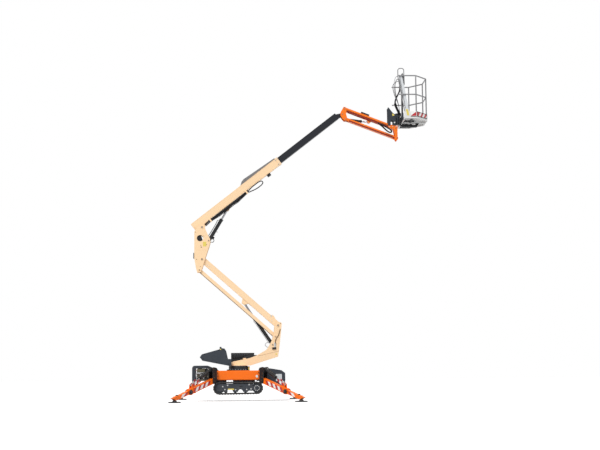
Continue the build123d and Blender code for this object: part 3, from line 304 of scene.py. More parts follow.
class Shape:
    """Gathers solids of one finish into one piece."""

    def __init__(self):
        self.mesh = bmesh.new()

    def add(self, vertices, faces):
        made = [self.mesh.verts.new(v) for v in vertices]
        for face in faces:
            self.mesh.faces.new([made[i] for i in face])
        return self

    def box(self, low, high, place=Matrix()):
        corners = [place @ Vector((x, y, z)) for x in (low[0], high[0]) for y in (low[1], high[1])
                   for z in (low[2], high[2])]
        sides = ((0, 1, 3, 2), (4, 6, 7, 5), (0, 4, 5, 1), (2, 3, 7, 6), (0, 2, 6, 4), (1, 5, 7, 3))
        return self.add(corners, sides)

    def tube(self, rings, count):
        """Solid between two rings of that many points."""
        faces = [tuple(reversed(range(count))), tuple(range(count, 2 * count))]
        for i in range(count):
            j = (i + 1) % count
            faces.append((i, j, j + count, i + count))
        return self.add(rings, faces)

    def prism(self, outline, low, high, place=Matrix()):
        """Outline in the local xz plane, filled along local y from low to high."""
        rings = [place @ Vector((x, y, z)) for y in (low, high) for x, z in outline]
        return self.tube(rings, len(outline))

    def rod(self, start, end, radius, sides=16, end_radius=None, place=Matrix()):
        start, end = place @ Vector(start), place @ Vector(end)
        turn = (end - start).to_track_quat("Z", "Y").to_matrix()
        rings = []
        for centre, size in ((start, radius), (end, end_radius or radius)):
            for i in range(sides):
                angle = 2 * pi * i / sides
                rings.append(centre + turn @ Vector((size * cos(angle), size * sin(angle), 0)))
        return self.tube(rings, sides)

    def bolt(self, spot, outward, radius, height):
        """Hexagon head on its washer."""
        spot, outward = Vector(spot), Vector(outward).normalized()
        washer = spot + outward * height * WASHER_HEIGHT
        self.rod(spot, washer, radius * WASHER_REACH, 16)
        return self.rod(washer, spot + outward * height, radius, 6)

    def studs(self, spots, near, far, sides=16, taper=1.0, place=Matrix()):
        """Short rounds at (x, z, radius) on both side faces, from y near to y far."""
        for sign in (-1, 1):
            for x, z, radius in spots:
                self.rod((x, sign * near, z), (x, sign * far, z), radius, sides, radius * taper, place)
        return self

    def side_bolts(self, spots, face, radius, height, place=Matrix()):
        """Bolts at (x, z) on both side faces."""
        for sign in (-1, 1):
            outward = place.to_3x3() @ Vector((0, sign, 0))
            for x, z in spots:
                self.bolt(place @ Vector((x, sign * (face + SEAT), z)), outward, radius, height)
        return self

    def finish(self, name, body, material, bevel=0.0, smooth=False):
        bmesh.ops.recalc_face_normals(self.mesh, faces=self.mesh.faces)
        mesh = bpy.data.meshes.new(name)
        self.mesh.to_mesh(mesh)
        self.mesh.free()
        piece = placed(name, mesh)
        mesh.materials.append(FINISHES[material])
        if smooth:
            mesh.polygons.foreach_set("use_smooth", [True] * len(mesh.polygons))
            mesh.set_sharp_from_angle(angle=radians(40))
        if bevel:
            soften(piece, bevel)
        settle(piece, body)


def soften(piece, width):
    rounding = piece.modifiers.new("rounded_edges", "BEVEL")
    rounding.width = width
    rounding.segments = 2
    rounding.limit_method = "ANGLE"
    rounding.angle_limit = radians(32)


def hose(name, points, radius, body, material="hose", place=Matrix()):
    """Round hose on a smooth line through its control points."""
    curve = bpy.data.curves.new(name, "CURVE")
    curve.dimensions = "3D"
    curve.bevel_depth = radius
    curve.bevel_resolution = 4
    curve.resolution_u = 8
    curve.use_fill_caps = True
    line = curve.splines.new("NURBS")
    line.points.add(len(points) - 1)
    for target, point in zip(line.points, points):
        target.co = (*(place @ Vector(point)), 1)
    line.order_u = 3
    line.use_endpoint_u = True
    piece = placed(name, curve)
    curve.materials.append(FINISHES[material])
    settle(piece, body)


def front_plate(name, outline, face, body, material):
    """Label or strip on the front side of a piece, whose face is that far from the middle."""
    Shape().prism(outline, -face - SEAT - PLATE, -face - SEAT).finish(name, body, material)


def rounded_outline(x0, z0, x1, z1, radius):
    """Rectangle with round corners."""
    points = []
    for cx, cz, start in ((x1 - radius, z1 - radius, 0), (x0 + radius, z1 - radius, 90),
                          (x0 + radius, z0 + radius, 180), (x1 - radius, z0 + radius, 270)):
        for i in range(5):
            turn = radians(start + 90 * i / 4)
            points.append((cx + radius * cos(turn), cz + radius * sin(turn)))
    return points


def frame_on(origin, along):
    """Matrix of a local frame: x along, z as near up as can be."""
    x = Vector(along).normalized()
    y = UP.cross(x).normalized()
    z = x.cross(y)
    place = Matrix((x, y, z)).transposed().to_4x4()
    place.translation = Vector(origin)
    return place


# ---- finishes of the carried-over solids
FINISH_WORDS = {
    "orange": ("chassis_frame", "leg_front", "leg_back", "leg_extension"),
    "black": ("corner_brackets", "slew_base", "foot", "barrel", "valve_box", "basket_bracket", "console"),
    "chrome": ("cylinder_rod",),
    "slate": ("engine_hood", "right_hood", "tail_cover"),
    "slate_steel": ("track_frame", "track_wheels"),
    "cream": ("turret", "lower_beam", "lower_link", "knuckle", "main_boom"),
    "jib_orange": ("tip_bracket", "jib_upper", "jib_lower", "jib_head"),
    "engine": ("engine_block",), "rubber": ("track_belt",), "cover_grey": ("boom_cover",),
    "hose": ("boom_hoses",), "navy": ("inner_boom",), "mount_slate": ("head_mast",),
    "floor_plate": ("basket_floor",), "silver": ("basket_rails",), "column_white": ("basket_columns",),
}
SKIN_MERGE = 0.00002  # joins a solid's faces into one skin
NODE_EDGE = 0.002  # rounding of the solids' edges


def dress_nodes():
    for name, node in NODES.items():
        choice = next(key for key, words in FINISH_WORDS.items() if any(word in name for word in words))
        node.data.materials.clear()
        node.data.materials.append(FINISHES[choice])
        merge = node.modifiers.new("one_skin", "WELD")
        merge.merge_threshold = SKIN_MERGE
        soften(node, NODE_EDGE)


# ---- tracks
TRACK_FACE = 0.383  # outer face of a track frame
HUB_FACE = 0.391  # outer face of the bolted hub plate on the sprocket
HUB_BOLTS = 9
HUB_RING = 0.062  # circle of its bolts
WHEEL_FACE = 0.3615  # outer face of the idler and the rollers
SPROCKET = (0.483, 0.331)
IDLER = (-0.479, 0.328)
ROLLERS = ((-0.315, 0.238), (-0.075, 0.238), (0.19, 0.242))
FRAME_BOLTS = ((-0.395, 0.372), (-0.34, 0.296), (-0.065, 0.29), (0.22, 0.296), (-0.27, 0.405),
               (0.28, 0.418), (0.33, 0.31))


def dress_tracks():
    for side, sign in (("front", -1), ("back", 1)):
        out = Vector((0, sign, 0))
        face = sign * (TRACK_FACE + SEAT)
        hub = Vector((SPROCKET[0], sign * (HUB_FACE + SEAT), SPROCKET[1]))
        bolts = Shape()
        for x, z in FRAME_BOLTS:
            bolts.bolt((x, face, z), out, 0.012, 0.009)
        for i in range(HUB_BOLTS):
            turn = 2 * pi * i / HUB_BOLTS
            bolts.bolt(hub + HUB_RING * Vector((cos(turn), 0, sin(turn))), out, 0.008, 0.007)
        bolts.finish("track_bolts_" + side, "chassis", "zinc")
        cap = Shape().rod(hub, hub + out * 0.012, 0.042, 28, 0.036)
        cap.rod(hub + out * 0.012, hub + out * 0.016, 0.012, 6)
        rollers = [(spot, 0.011, 0.019, 20, 0.016) for spot in ROLLERS]
        for (x, z), rise, radius, sides, end in ((IDLER, 0.018, 0.05, 28, 0.042), *rollers):
            start = Vector((x, sign * WHEEL_FACE, z))
            cap.rod(start, start + out * rise, radius, sides, end)
        cap.finish("track_hub_caps_" + side, "chassis", "slate_steel", bevel=0.0015)
        low, high = sorted((face, face + sign * 0.0015))
        for name, outline, material in (
                ("track_label_", [(-0.262, 0.288), (-0.106, 0.288), (-0.106, 0.32), (-0.262, 0.32)],
                 "label_yellow"),
                # painted shade: flat black plate drawn for the shaded inside of a slot
                ("track_slot_shade_", rounded_outline(0.03, 0.36, 0.114, 0.388, 0.012), "black"),
                ("sprocket_guard_", [(0.25, 0.262), (0.398, 0.262), (0.398, 0.385), (0.25, 0.385)],
                 "slate_steel")):
            Shape().prism(outline, low, high).finish(name + side, "chassis", material)


# ---- outriggers
HINGE = (0.66, 0.45, 0.52)  # leg hinge, mirrored to the four corners
FOOT = 1.56  # pad centre, mirrored likewise
LEG_DROP = 16.5  # degrees that a tube slopes down
LEG_CYL_BASE = (0.06, 0.3)  # outrigger cylinder's pins from the leg hinge, outward and up
LEG_CYL_TIP = (0.8, -0.1)
KNOB = 0.94  # lock knob, along the tube
BRACKET_FACE = 0.078  # outer faces of a corner bracket
BRACKET_PIN_FACE = 0.086  # ends of its pins
# piece, body, start and end along the tube, number of bars, half height, half width of the tube
LEG_STRIPES = (("tube", "leg_", 0.2, 0.86, 7, 0.046, 0.055),
               ("reach", "leg_extension_", 1.08, 1.31, 2, 0.033, 0.044))
LEG_SLANT = 0.085  # lean of the stripes on a tube
GUARD_BACK = 0.225  # striped guard's start, back from the rod's pin
GUARD_BAR = 0.085  # length of one of its three bars
GUARD_SLANT = 0.03


def leg_root(side_x, side_y):
    """Hinge of a leg, and its level direction outward."""
    hinge = Vector((side_x * HINGE[0], side_y * HINGE[1], HINGE[2]))
    run = Vector((side_x * (FOOT - HINGE[0]), side_y * (FOOT - HINGE[1]), 0)).normalized()
    return hinge, run


def slanted_bands(prefix, suffix, body, start, width, count, low, high, slant, near, far, place):
    """Slanting red and white bars on both sides of a tube, from y near to y far."""
    shapes = Shape(), Shape()
    for i in range(count):
        x0, x1 = start + i * width, start + (i + 1) * width
        bar = [(x0, low), (x1, low), (x1 - slant, high), (x0 - slant, high)]
        shapes[i % 2].prism(bar, near, far, place)
        shapes[i % 2].prism(bar, -far, -near, place)
    for shape, colour in zip(shapes, ("red", "white")):
        shape.finish(prefix + colour + suffix, body, colour)


def dress_legs():
    for name, (side_x, side_y) in CORNERS.items():
        hinge, run = leg_root(side_x, side_y)
        drop = radians(LEG_DROP)
        place = frame_on(hinge, run * cos(drop) - UP * sin(drop))
        for part, body, start, end, count, half, face in LEG_STRIPES:
            near = face + SEAT
            slanted_bands("stripe_", "_" + part + "_" + name, body + name, start, (end - start) / count,
                          count, -half, half, LEG_SLANT, near, near + PLATE, place)
        knob = Shape().studs([(KNOB, 0, 0.06)], 0.0645, 0.088, 32, 0.9, place)
        knob.finish("leg_knob_" + name, "leg_" + name, "black", bevel=0.003)
        centre = Shape().studs([(KNOB, 0, 0.024)], 0.0883, 0.1, 24, place=place)
        centre.finish("leg_knob_centre_" + name, "leg_" + name, "slate_steel", bevel=0.002)
        roller = Shape().rod((1.385, -0.032, 0.052), (1.385, 0.032, 0.052), 0.022, 24, place=place)
        roller.finish("leg_roller_" + name, "leg_extension_" + name, "pin_brown", bevel=0.003)
        dress_leg_cylinder(name, hinge, run)
        foot = (side_x * FOOT, side_y * FOOT)
        collar = Shape().rod((*foot, 0.0985), (*foot, 0.142), 0.0365, 28)
        collar.finish("foot_collar_" + name, "leg_extension_" + name, "pin_brown", bevel=0.002)


def dress_leg_cylinder(name, hinge, run):
    """Pipe and fittings on the barrel, striped guards over the rod's end, bolts on the bracket."""
    base, tip = (hinge + run * out + UP * rise for out, rise in (LEG_CYL_BASE, LEG_CYL_TIP))
    place = frame_on(base, tip - base)
    fittings = Shape()
    for x in (0.09, 0.43):
        fittings.rod((x, 0, 0.036), (x, 0, 0.062), 0.011, 12, place=place)
        fittings.rod((x, 0, 0.05), (x, 0, 0.056), 0.015, 6, place=place)
    fittings.finish("leg_cylinder_fittings_" + name, "leg_barrel_" + name, "zinc")
    hose("leg_cylinder_pipe_" + name, ((0.43, 0, 0.061), (0.41, 0, 0.07), (0.36, 0, 0.058), (0.2, 0, 0.052),
         (0.13, 0, 0.06), (0.1, 0, 0.07), (0.09, 0, 0.061)), 0.006, "leg_barrel_" + name, place=place)
    slanted_bands("rod_guard_", "_" + name, "leg_rod_" + name, (tip - base).length - GUARD_BACK,
                  GUARD_BAR, 3, -0.03, 0.034, GUARD_SLANT, 0.0485, 0.0505, place)
    level = frame_on(hinge, run)
    spots = ((-0.13, 0.03), (-0.13, 0.12), (-0.12, 0.2), (0.035, 0.18), (0.02, 0.09))
    bolts = Shape().side_bolts(spots, BRACKET_FACE, 0.012, 0.009, level)
    near = BRACKET_PIN_FACE + SEAT
    bolts.studs(((0, 0, 0.014), (*LEG_CYL_BASE, 0.012)), near, near + 0.005, place=level)
    bolts.finish("bracket_bolts_" + name, "chassis", "pin_brown")


# ---- chassis
CHASSIS_FACE = 0.33  # front face of the centre box
HOOD_FACE = 0.25  # front face of the right hood
ENGINE_FACE = 0.205  # front face of the engine
SLEW_RING = 0.272  # circle of the slewing base's bolts
SLEW_TOP = 0.802
SLEW_BOLTS = 24
DRIVE_EDGE = 0.2  # the bolts end where the drive box begins


def dress_chassis():
    face = CHASSIS_FACE + SEAT
    marker = Shape().rod((0.485, -face, 0.632), (0.485, -face - 0.004, 0.632), 0.034, 32)
    marker.finish("chassis_marker", "chassis", "white")
    front_plate("hood_label", rounded_outline(0.976, 0.504, 1.13, 0.684, 0.012), HOOD_FACE, "chassis",
                "label_pale")
    tag = Shape().box((0.262, -0.079, 0.79), (0.3, -0.0703, 0.884))
    tag.finish("slew_drive_tag", "chassis", "label_yellow")
    ring = Shape()
    for i in range(SLEW_BOLTS):
        turn = 2 * pi * i / SLEW_BOLTS
        x, y = SLEW_RING * cos(turn), SLEW_RING * sin(turn)
        if x < DRIVE_EDGE:
            ring.bolt((x, y, SLEW_TOP + SEAT), UP, 0.011, 0.01)
    ring.finish("slew_ring_bolts", "chassis", "zinc")
    dress_engine()


def dress_engine():
    """What shows through the open sides of the left hood."""
    seat = -ENGINE_FACE - SEAT
    cleaner = Shape().box((-1.062, -0.232, 0.749), (-0.855, -0.155, 0.838))
    cleaner.box((-1.03, -0.215, 0.838), (-0.93, -0.165, 0.852))
    cleaner.finish("air_cleaner", "chassis", "olive", bevel=0.01)
    strip = Shape().box((-1.064, -0.2325, 0.723), (-0.853, -0.2055, 0.737))
    strip.box((-0.79, -0.2325, 0.752), (-0.752, -0.2055, 0.85))
    strip.finish("pale_brackets", "chassis", "label_pale", bevel=0.002)
    post = Shape().box((-0.832, -0.236, 0.6), (-0.806, -0.206, 0.845))
    post.box((-1.16, -0.232, 0.57), (-0.7, -0.206, 0.59))
    post.finish("engine_frame", "chassis", "black", bevel=0.003)
    block = Shape()
    for i in range(6):
        x = -1.04 + i * 0.028
        block.box((x, -0.2245, 0.6), (x + 0.012, seat, 0.7))
    for x, z, radius in ((-0.79, 0.66, 0.055), (-0.93, 0.555, 0.04)):
        block.rod((x, seat, z), (x, -0.228, z), radius, 32)
        block.rod((x, -0.228, z), (x, -0.234, z), radius * 0.45, 24)
    block.finish("engine_ribs_and_pulleys", "chassis", "engine", bevel=0.002)
    hose("engine_pipe_pale", ((-1.035, -0.2, 0.6), (-1.09, -0.222, 0.62), (-1.105, -0.226, 0.69),
         (-1.03, -0.23, 0.72), (-0.95, -0.23, 0.69), (-0.9, -0.228, 0.61), (-0.885, -0.22, 0.57)), 0.013,
         "chassis", "pale_hose")
    hose("engine_pipe_red", ((-1.13, -0.222, 0.57), (-1.14, -0.226, 0.66), (-1.12, -0.226, 0.72),
         (-1.12, -0.21, 0.79), (-1.055, -0.2, 0.8)), 0.009, "chassis", "red")
    hose("engine_pipe_black", ((-0.86, -0.222, 0.57), (-0.85, -0.228, 0.64), (-0.74, -0.228, 0.7),
         (-0.72, -0.215, 0.6), (-0.73, -0.21, 0.56)), 0.012, "chassis")


# ---- arms: their pins and side frames
def between(start, end):
    """Frame in the side plane: x from start to end, y across the machine, z square to both."""
    return frame_on((start[0], 0, start[1]), (end[0] - start[0], 0, end[1] - start[1]))


def arm_frame(point, angle):
    turn = radians(angle)
    return between(point, (point[0] + cos(turn), point[1] + sin(turn)))


def on_arm(arm, x, z):
    """Where a point of an arm's frame lies in the side plane."""
    spot = arm @ Vector((x, 0, z))
    return (spot.x, spot.z)


def shifted(point, offset):
    return (point[0] + offset[0], point[1] + offset[1])


TOWER_PIN = (1.04, 1.947)
KNUCKLE_PIN = (-0.949, 3.688)
LINK_STEP = (-0.068, -0.285)  # from a beam pin to the link's pin
LOWER_CYL = ((0.895, 1.45), (0.15, 2.545))
BOOM_PIN = (-0.95, 4.535)
BOOM = arm_frame(BOOM_PIN, 38.2)
BOOM_CYL_TIP = (0.8, -0.042)  # main cylinder's rod pin, along and across the boom
MAIN_CYL = ((-0.775, 4.18), on_arm(BOOM, *BOOM_CYL_TIP))
JIB_PIN = (2.86, 7.745)
JIB_STEP = (0.025, -0.27)
JIB = arm_frame(JIB_PIN, -20.7)
JIB_LENGTH = 1.47
HEAD_PIN = on_arm(JIB, JIB_LENGTH, 0)

CHEEK_FACE = 0.132  # outer faces of the turret's and the knuckle's cheeks
BEAM_FACE = 0.078  # sides of the lower beam
LINK_FACE = 0.086  # sides of the lower link
TAIL_FACE = 0.34  # front side of the tail cover
VALVE_FACE = 0.1  # front side of the valve box
HEAD_FACE = 0.088  # outer faces of the levelling bracket and the jib head
TOWER_PIN_FACE, KNUCKLE_PIN_FACE = 0.142, 0.14  # ends of their pins
PIN_END = 0.003  # how far a pin's greased end stands out
BOLTED_PIN = 0.3  # keeper bolt's radius over its pin's


def pin_ends(name, body, pins, face):
    """Greased end and keeper bolt on both ends of each pin: (x, z, radius)."""
    near = face + SEAT
    ends = Shape().studs([(x, z, radius * 0.8) for x, z, radius in pins], near, near + PIN_END, 24)
    ends.finish(name + "_ends", body, "pin_brown")
    keepers = Shape()
    for x, z, radius in pins:
        keepers.side_bolts([(x, z)], face + PIN_END, radius * BOLTED_PIN, 0.007)
    keepers.finish(name + "_keepers", body, "zinc")


def seams(name, body, material, place, lines, radius, sides=6):
    """Weld beads between two points of a side frame, on both sides: (x, y, z, end x, end z)."""
    weld = Shape()
    for x, y, z, end_x, end_z in lines:
        for sign in (-1, 1):
            weld.rod((x, sign * y, z), (end_x, sign * y, end_z), radius, sides, place=place)
    weld.finish(name, body, material, smooth=True)


def barrel_pipe(name, body, pins, reach, radius, side=1, gap=0.012, thick=0.006, material="pale_hose"):
    """Thin pipe with its two fittings along a cylinder barrel, above it (side 1) or below it (-1)."""
    place = between(*pins)
    y, z, lift = -0.012, side * (radius + gap), side * 0.014
    fittings = Shape()
    for x in (0.1, reach):
        fittings.rod((x, y, side * (radius - 0.004)), (x, y, z + side * 0.008), 0.012, 12, place=place)
        fittings.rod((x, y, z + side * 0.002), (x, y, z + side * 0.009), 0.017, 6, place=place)
    fittings.finish(name + "_fittings", body, "zinc")
    hose(name + "_pipe", ((0.1, y, z), (0.11, y, z + lift), (0.17, y, z), (reach * 0.5, y, z),
         (reach - 0.07, y, z), (reach - 0.01, y, z + lift), (reach, y, z)), thick, body, material, place)


# ---- turret
SPOOLS = 7  # valve spools in a row, and the start and pitch of the row
SPOOL_X = -0.14
SPOOL_PITCH = 0.062


def dress_turret():
    link_pin = shifted(TOWER_PIN, LINK_STEP)
    cheek = -CHEEK_FACE - SEAT
    pins = ((*TOWER_PIN, 0.03), (*link_pin, 0.02), (*LOWER_CYL[0], 0.022))
    pin_ends("tower_pins", "turret", pins, TOWER_PIN_FACE)
    seams("turret_weld", "turret", "pin_brown", Matrix(), ((0.514, CHEEK_FACE, 1.151, 1.06, 1.277),),
          0.0028, 8)
    dots = Shape().rod((0.989, cheek, 1.2), (0.989, -0.1345, 1.2), 0.02, 24)
    dots.rod((-0.455, -TAIL_FACE - SEAT, 1.325), (-0.455, -0.344, 1.325), 0.015, 20)
    dots.finish("turret_dots", "turret", "label_yellow")
    Shape().studs([(1.105, 1.992, 0.011)], -cheek, 0.136).finish("tower_plugs", "turret", "pin_brown")
    dress_tower_valve()
    screws = Shape()
    for x, z in ((-0.9, 1.08), (-0.86, 1.2), (-0.5, 1.3), (-0.38, 1.32), (-0.3, 1.14), (-0.24, 0.95),
                 (-0.55, 0.985)):
        screws.bolt((x, -TAIL_FACE - SEAT, z), (0, -1, 0), 0.009, 0.006)
    screws.finish("tail_cover_screws", "turret", "black")
    dress_valve_box()


def dress_tower_valve():
    """Small valve on the turret's front cheek, and its two hoses."""
    hose("tower_hose_brown", ((0.985, -0.142, 1.47), (0.955, -0.146, 1.52), (0.99, -0.146, 1.6),
         (1.05, -0.146, 1.68), (1.075, -0.146, 1.78), (1.1, -0.138, 1.85)), 0.009, "turret", "pin_brown")
    valve = Shape().box((0.93, -0.158, 1.375), (0.962, -0.1325, 1.5))
    valve.rod((0.975, -0.145, 1.38), (0.975, -0.145, 1.47), 0.011, 16)
    valve.finish("tower_valve_block", "turret", "zinc", bevel=0.002)
    base = Shape().box((0.885, -0.156, 1.322), (0.988, -0.1325, 1.372))
    base.finish("tower_valve_base", "turret", "black", bevel=0.003)
    hose("tower_hose_loop", ((0.83, -0.114, 1.36), (0.77, -0.105, 1.375), (0.715, -0.1, 1.405),
         (0.7, -0.1, 1.45), (0.725, -0.1, 1.49), (0.78, -0.1, 1.5), (0.85, -0.1, 1.47),
         (0.9, -0.114, 1.43)), 0.009, "turret", "pale_hose")


def dress_valve_box():
    """Spools, tag and four short hoses on the front of the valve box."""
    face = -VALVE_FACE - SEAT
    spools = Shape()
    for i in range(SPOOLS):
        x = SPOOL_X + i * SPOOL_PITCH
        spools.rod((x, face, 1.19), (x, -0.122, 1.19), 0.016, 18)
        spools.rod((x, face, 1.145), (x, -0.115, 1.145), 0.011, 6)
    spools.finish("valve_spools", "turret", "slate_steel", bevel=0.001)
    Shape().box((0.125, -0.1065, 1.074), (0.203, -0.1005, 1.102)).finish("valve_tag", "turret", "cream")
    for i in range(4):
        x = SPOOL_X + i * SPOOL_PITCH
        rise = 0.02 * i
        hose("valve_hose_%d" % i, ((x, -0.112, 1.145), (x, -0.135, 1.14), (x + 0.02, -0.125, 1.08),
             (x + 0.12, -0.11, 1.11 + rise), (x + 0.2, -0.108, 1.13 + rise)), 0.008, "turret")


# ---- lower arm and knuckle
def dress_lower_arm():
    beam = between(KNUCKLE_PIN, TOWER_PIN)
    length = hypot(TOWER_PIN[0] - KNUCKLE_PIN[0], TOWER_PIN[1] - KNUCKLE_PIN[1])
    seams("lower_beam_welds", "lower_beam", "cream", beam,
          [(0.09, 0.0785, z, length - 0.09, z) for z in (-0.066, 0.072)], 0.0022)
    bolts = Shape().side_bolts([(length - 0.29, 0.075)], BEAM_FACE, 0.014, 0.01, beam)
    bolts.side_bolts([(x, -0.02) for x in (0.2, 0.26, length - 0.2)], BEAM_FACE, 0.008, 0.006, beam)
    bolts.finish("lower_beam_bolts", "lower_beam", "zinc")
    link = between(shifted(KNUCKLE_PIN, LINK_STEP), shifted(TOWER_PIN, LINK_STEP))
    # painted shade: dark strips along the lower edge of both sides of the link
    edge = Shape()
    for sign in (-1, 1):
        low, high = sorted((sign * (LINK_FACE + SEAT), sign * (LINK_FACE + 0.0015)))
        edge.box((0.05, low, -0.046), (length - 0.05, high, -0.036), link)
    edge.finish("lower_link_shade_strips", "lower_link", "slate_steel")
    barrel_pipe("lower_cylinder", "lower_barrel", LOWER_CYL, 0.78, 0.045, side=-1)


def dress_knuckle():
    link_pin = shifted(KNUCKLE_PIN, LINK_STEP)
    pins = ((*KNUCKLE_PIN, 0.03), (*link_pin, 0.02), (*BOOM_PIN, 0.032), (*MAIN_CYL[0], 0.022))
    pin_ends("knuckle_pins", "knuckle", pins, KNUCKLE_PIN_FACE)
    front_plate("knuckle_label", rounded_outline(-0.924, 4.024, -0.837, 4.146, 0.008), CHEEK_FACE,
                "knuckle", "label_yellow")
    valve = Shape().prism([(-1.1, 4.155), (-0.918, 4.155), (-0.984, 4.335), (-1.1, 4.335)], -0.105, 0.06)
    valve.box((-1.178, -0.05, 3.715), (-1.1525, 0.05, 3.862))
    valve.box((-0.985, -0.1345, 3.995), (-0.95, -CHEEK_FACE - SEAT, 4.014))
    valve.finish("knuckle_valve", "knuckle", "black", bevel=0.004)
    front_plate("knuckle_strip", [(-1.09, 3.925), (-0.845, 3.925), (-0.845, 3.962), (-1.09, 3.962)],
                CHEEK_FACE, "knuckle", "cream")
    spots = ((-1.09, 3.68), (-0.99, 3.49), (-0.9, 4.3), (-1.12, 4.4), (-0.83, 4.07), (-0.98, 4.05))
    plugs = Shape().studs([(*spot, 0.009) for spot in spots], CHEEK_FACE + SEAT, 0.136, 14)
    plugs.finish("knuckle_plugs", "knuckle", "pin_brown")
    hose("knuckle_hose", ((-1.02, -0.09, 4.31), (-0.99, -0.09, 4.42), (-0.93, -0.092, 4.47),
         (-0.88, -0.1, 4.44), (-0.86, -0.121, 4.37)), 0.009, "knuckle")
    for i in range(3):
        y = -0.03 + i * 0.03
        hose("knuckle_feed_%d" % i, ((-1.148, y, 3.9), (-1.11, y, 3.93), (-1.1, y, 4.05), (-1.1, y, 4.13),
             (-1.08, y, 4.2)), 0.009, "knuckle")


# ---- boom
BOOM_SADDLE = 0.11  # front side of the hose clips, from the boom's middle
CLIP_HALF = 0.02  # half the length of a clip
CLIP_REACH = 0.043  # its upper and lower ends, from the hoses' middle
CLIP_WALL = 0.0035
CLIPS = ((0.287, 0.006), (1.5, 0.003))


def dress_boom():
    dress_main_cylinder()
    clips = Shape()
    for x, z in CLIPS:
        x0, x1, z0, z1 = x - CLIP_HALF, x + CLIP_HALF, z - CLIP_REACH, z + CLIP_REACH
        clips.box((x0, -BOOM_SADDLE - CLIP_WALL, z0), (x1, -BOOM_SADDLE, z1), BOOM)
        clips.box((x0, -BOOM_SADDLE, z1 - CLIP_WALL), (x1, -0.0925, z1), BOOM)
        clips.box((x0, -BOOM_SADDLE, z0), (x1, -0.0925, z0 + CLIP_WALL), BOOM)
    clips.finish("hose_clips", "main_boom", "cream", bevel=0.001)
    # painted shade: thin black strip behind the boom hoses, filling the shadowed gap between hoses and boom
    shade_strip = Shape().box((0.307, -0.0915, -0.036), (1.48, -0.0895, 0.036), BOOM)
    shade_strip.finish("hose_shade_strip", "main_boom", "black")
    hose("boom_hose_return", [(x, -0.1, z) for x, z in ((1.54, 0.0), (1.66, 0.03), (1.8, 0.031),
         (1.94, 0.03), (2.01, -0.002), (2.005, -0.062), (1.93, -0.086), (1.76, -0.082), (1.65, -0.055),
         (1.54, -0.028))], 0.0135, "main_boom", place=BOOM)
    stop = Shape().box((2.216, -0.06, -0.02), (2.312, 0.06, 0.0477), BOOM)
    stop.finish("boom_stop", "main_boom", "black", bevel=0.004)
    spots = [(x, z) for x in (2.64, 2.69) for z in (0.085, 0.215)]
    bolts = Shape().side_bolts(spots, 0.084, 0.009, 0.007, BOOM)
    bolts.studs([(*BOOM_CYL_TIP, 0.018)], 0.0753, 0.079, 20, place=BOOM)
    bolts.studs([(0, 0, 0.04)], 0.0903, 0.093, 28, place=BOOM)
    bolts.finish("boom_bolts", "main_boom", "zinc")
    rail = Shape()
    for low, high in ((-0.062, -0.052), (0.052, 0.062)):
        rail.box((2.1, low, 0.2363), (4.64, high, 0.2395), BOOM)
    rail.finish("inner_boom_rails", "inner_boom", "zinc")
    seams("boom_welds", "main_boom", "cream", BOOM,
          ((0.31, 0.0765, 0.066, 2.65, 0.066), (-0.17, 0.0765, 0.236, 2.65, 0.236)), 0.0022)


def dress_main_cylinder():
    barrel_pipe("main_cylinder", "main_barrel", MAIN_CYL, 0.6, 0.046, gap=0.024, thick=0.009,
                material="hose")
    place = between(*MAIN_CYL)
    taps = Shape()
    for x, z in ((0.317, -0.084), (0.21, -0.07)):
        taps.rod((x, 0, -0.044), (x, 0, z), 0.01, 12, place=place)
    taps.finish("main_cylinder_taps", "main_barrel", "zinc")
    valve = Shape().box((0.09, -0.03, -0.085), (0.16, 0.03, -0.0445), place)
    valve.finish("main_cylinder_valve", "main_barrel", "black", bevel=0.004)
    hose("main_cylinder_feed", ((0.1, 0, -0.084), (0.09, 0, -0.112), (0.05, 0, -0.12), (0.01, 0, -0.1),
         (0.0, 0, -0.045)), 0.008, "main_barrel", place=place)


# ---- jib
PIN_FACE = 0.094  # ends of the jib's pins
JIB_PIN_R = 0.018


def painted_shade_band(name, body, low, high, face, far, place):
    """Dark red strip along both sides of a jib bar, from (x, z) low to (x, z) high: painted shade on the
    bar's lower side.
    """
    band = Shape()
    for sign in (-1, 1):
        near_y, far_y = sorted((sign * (face + SEAT), sign * far))
        band.box((low[0], near_y, low[1]), (high[0], far_y, high[1]), place)
    band.finish(name, body, "shade_red")


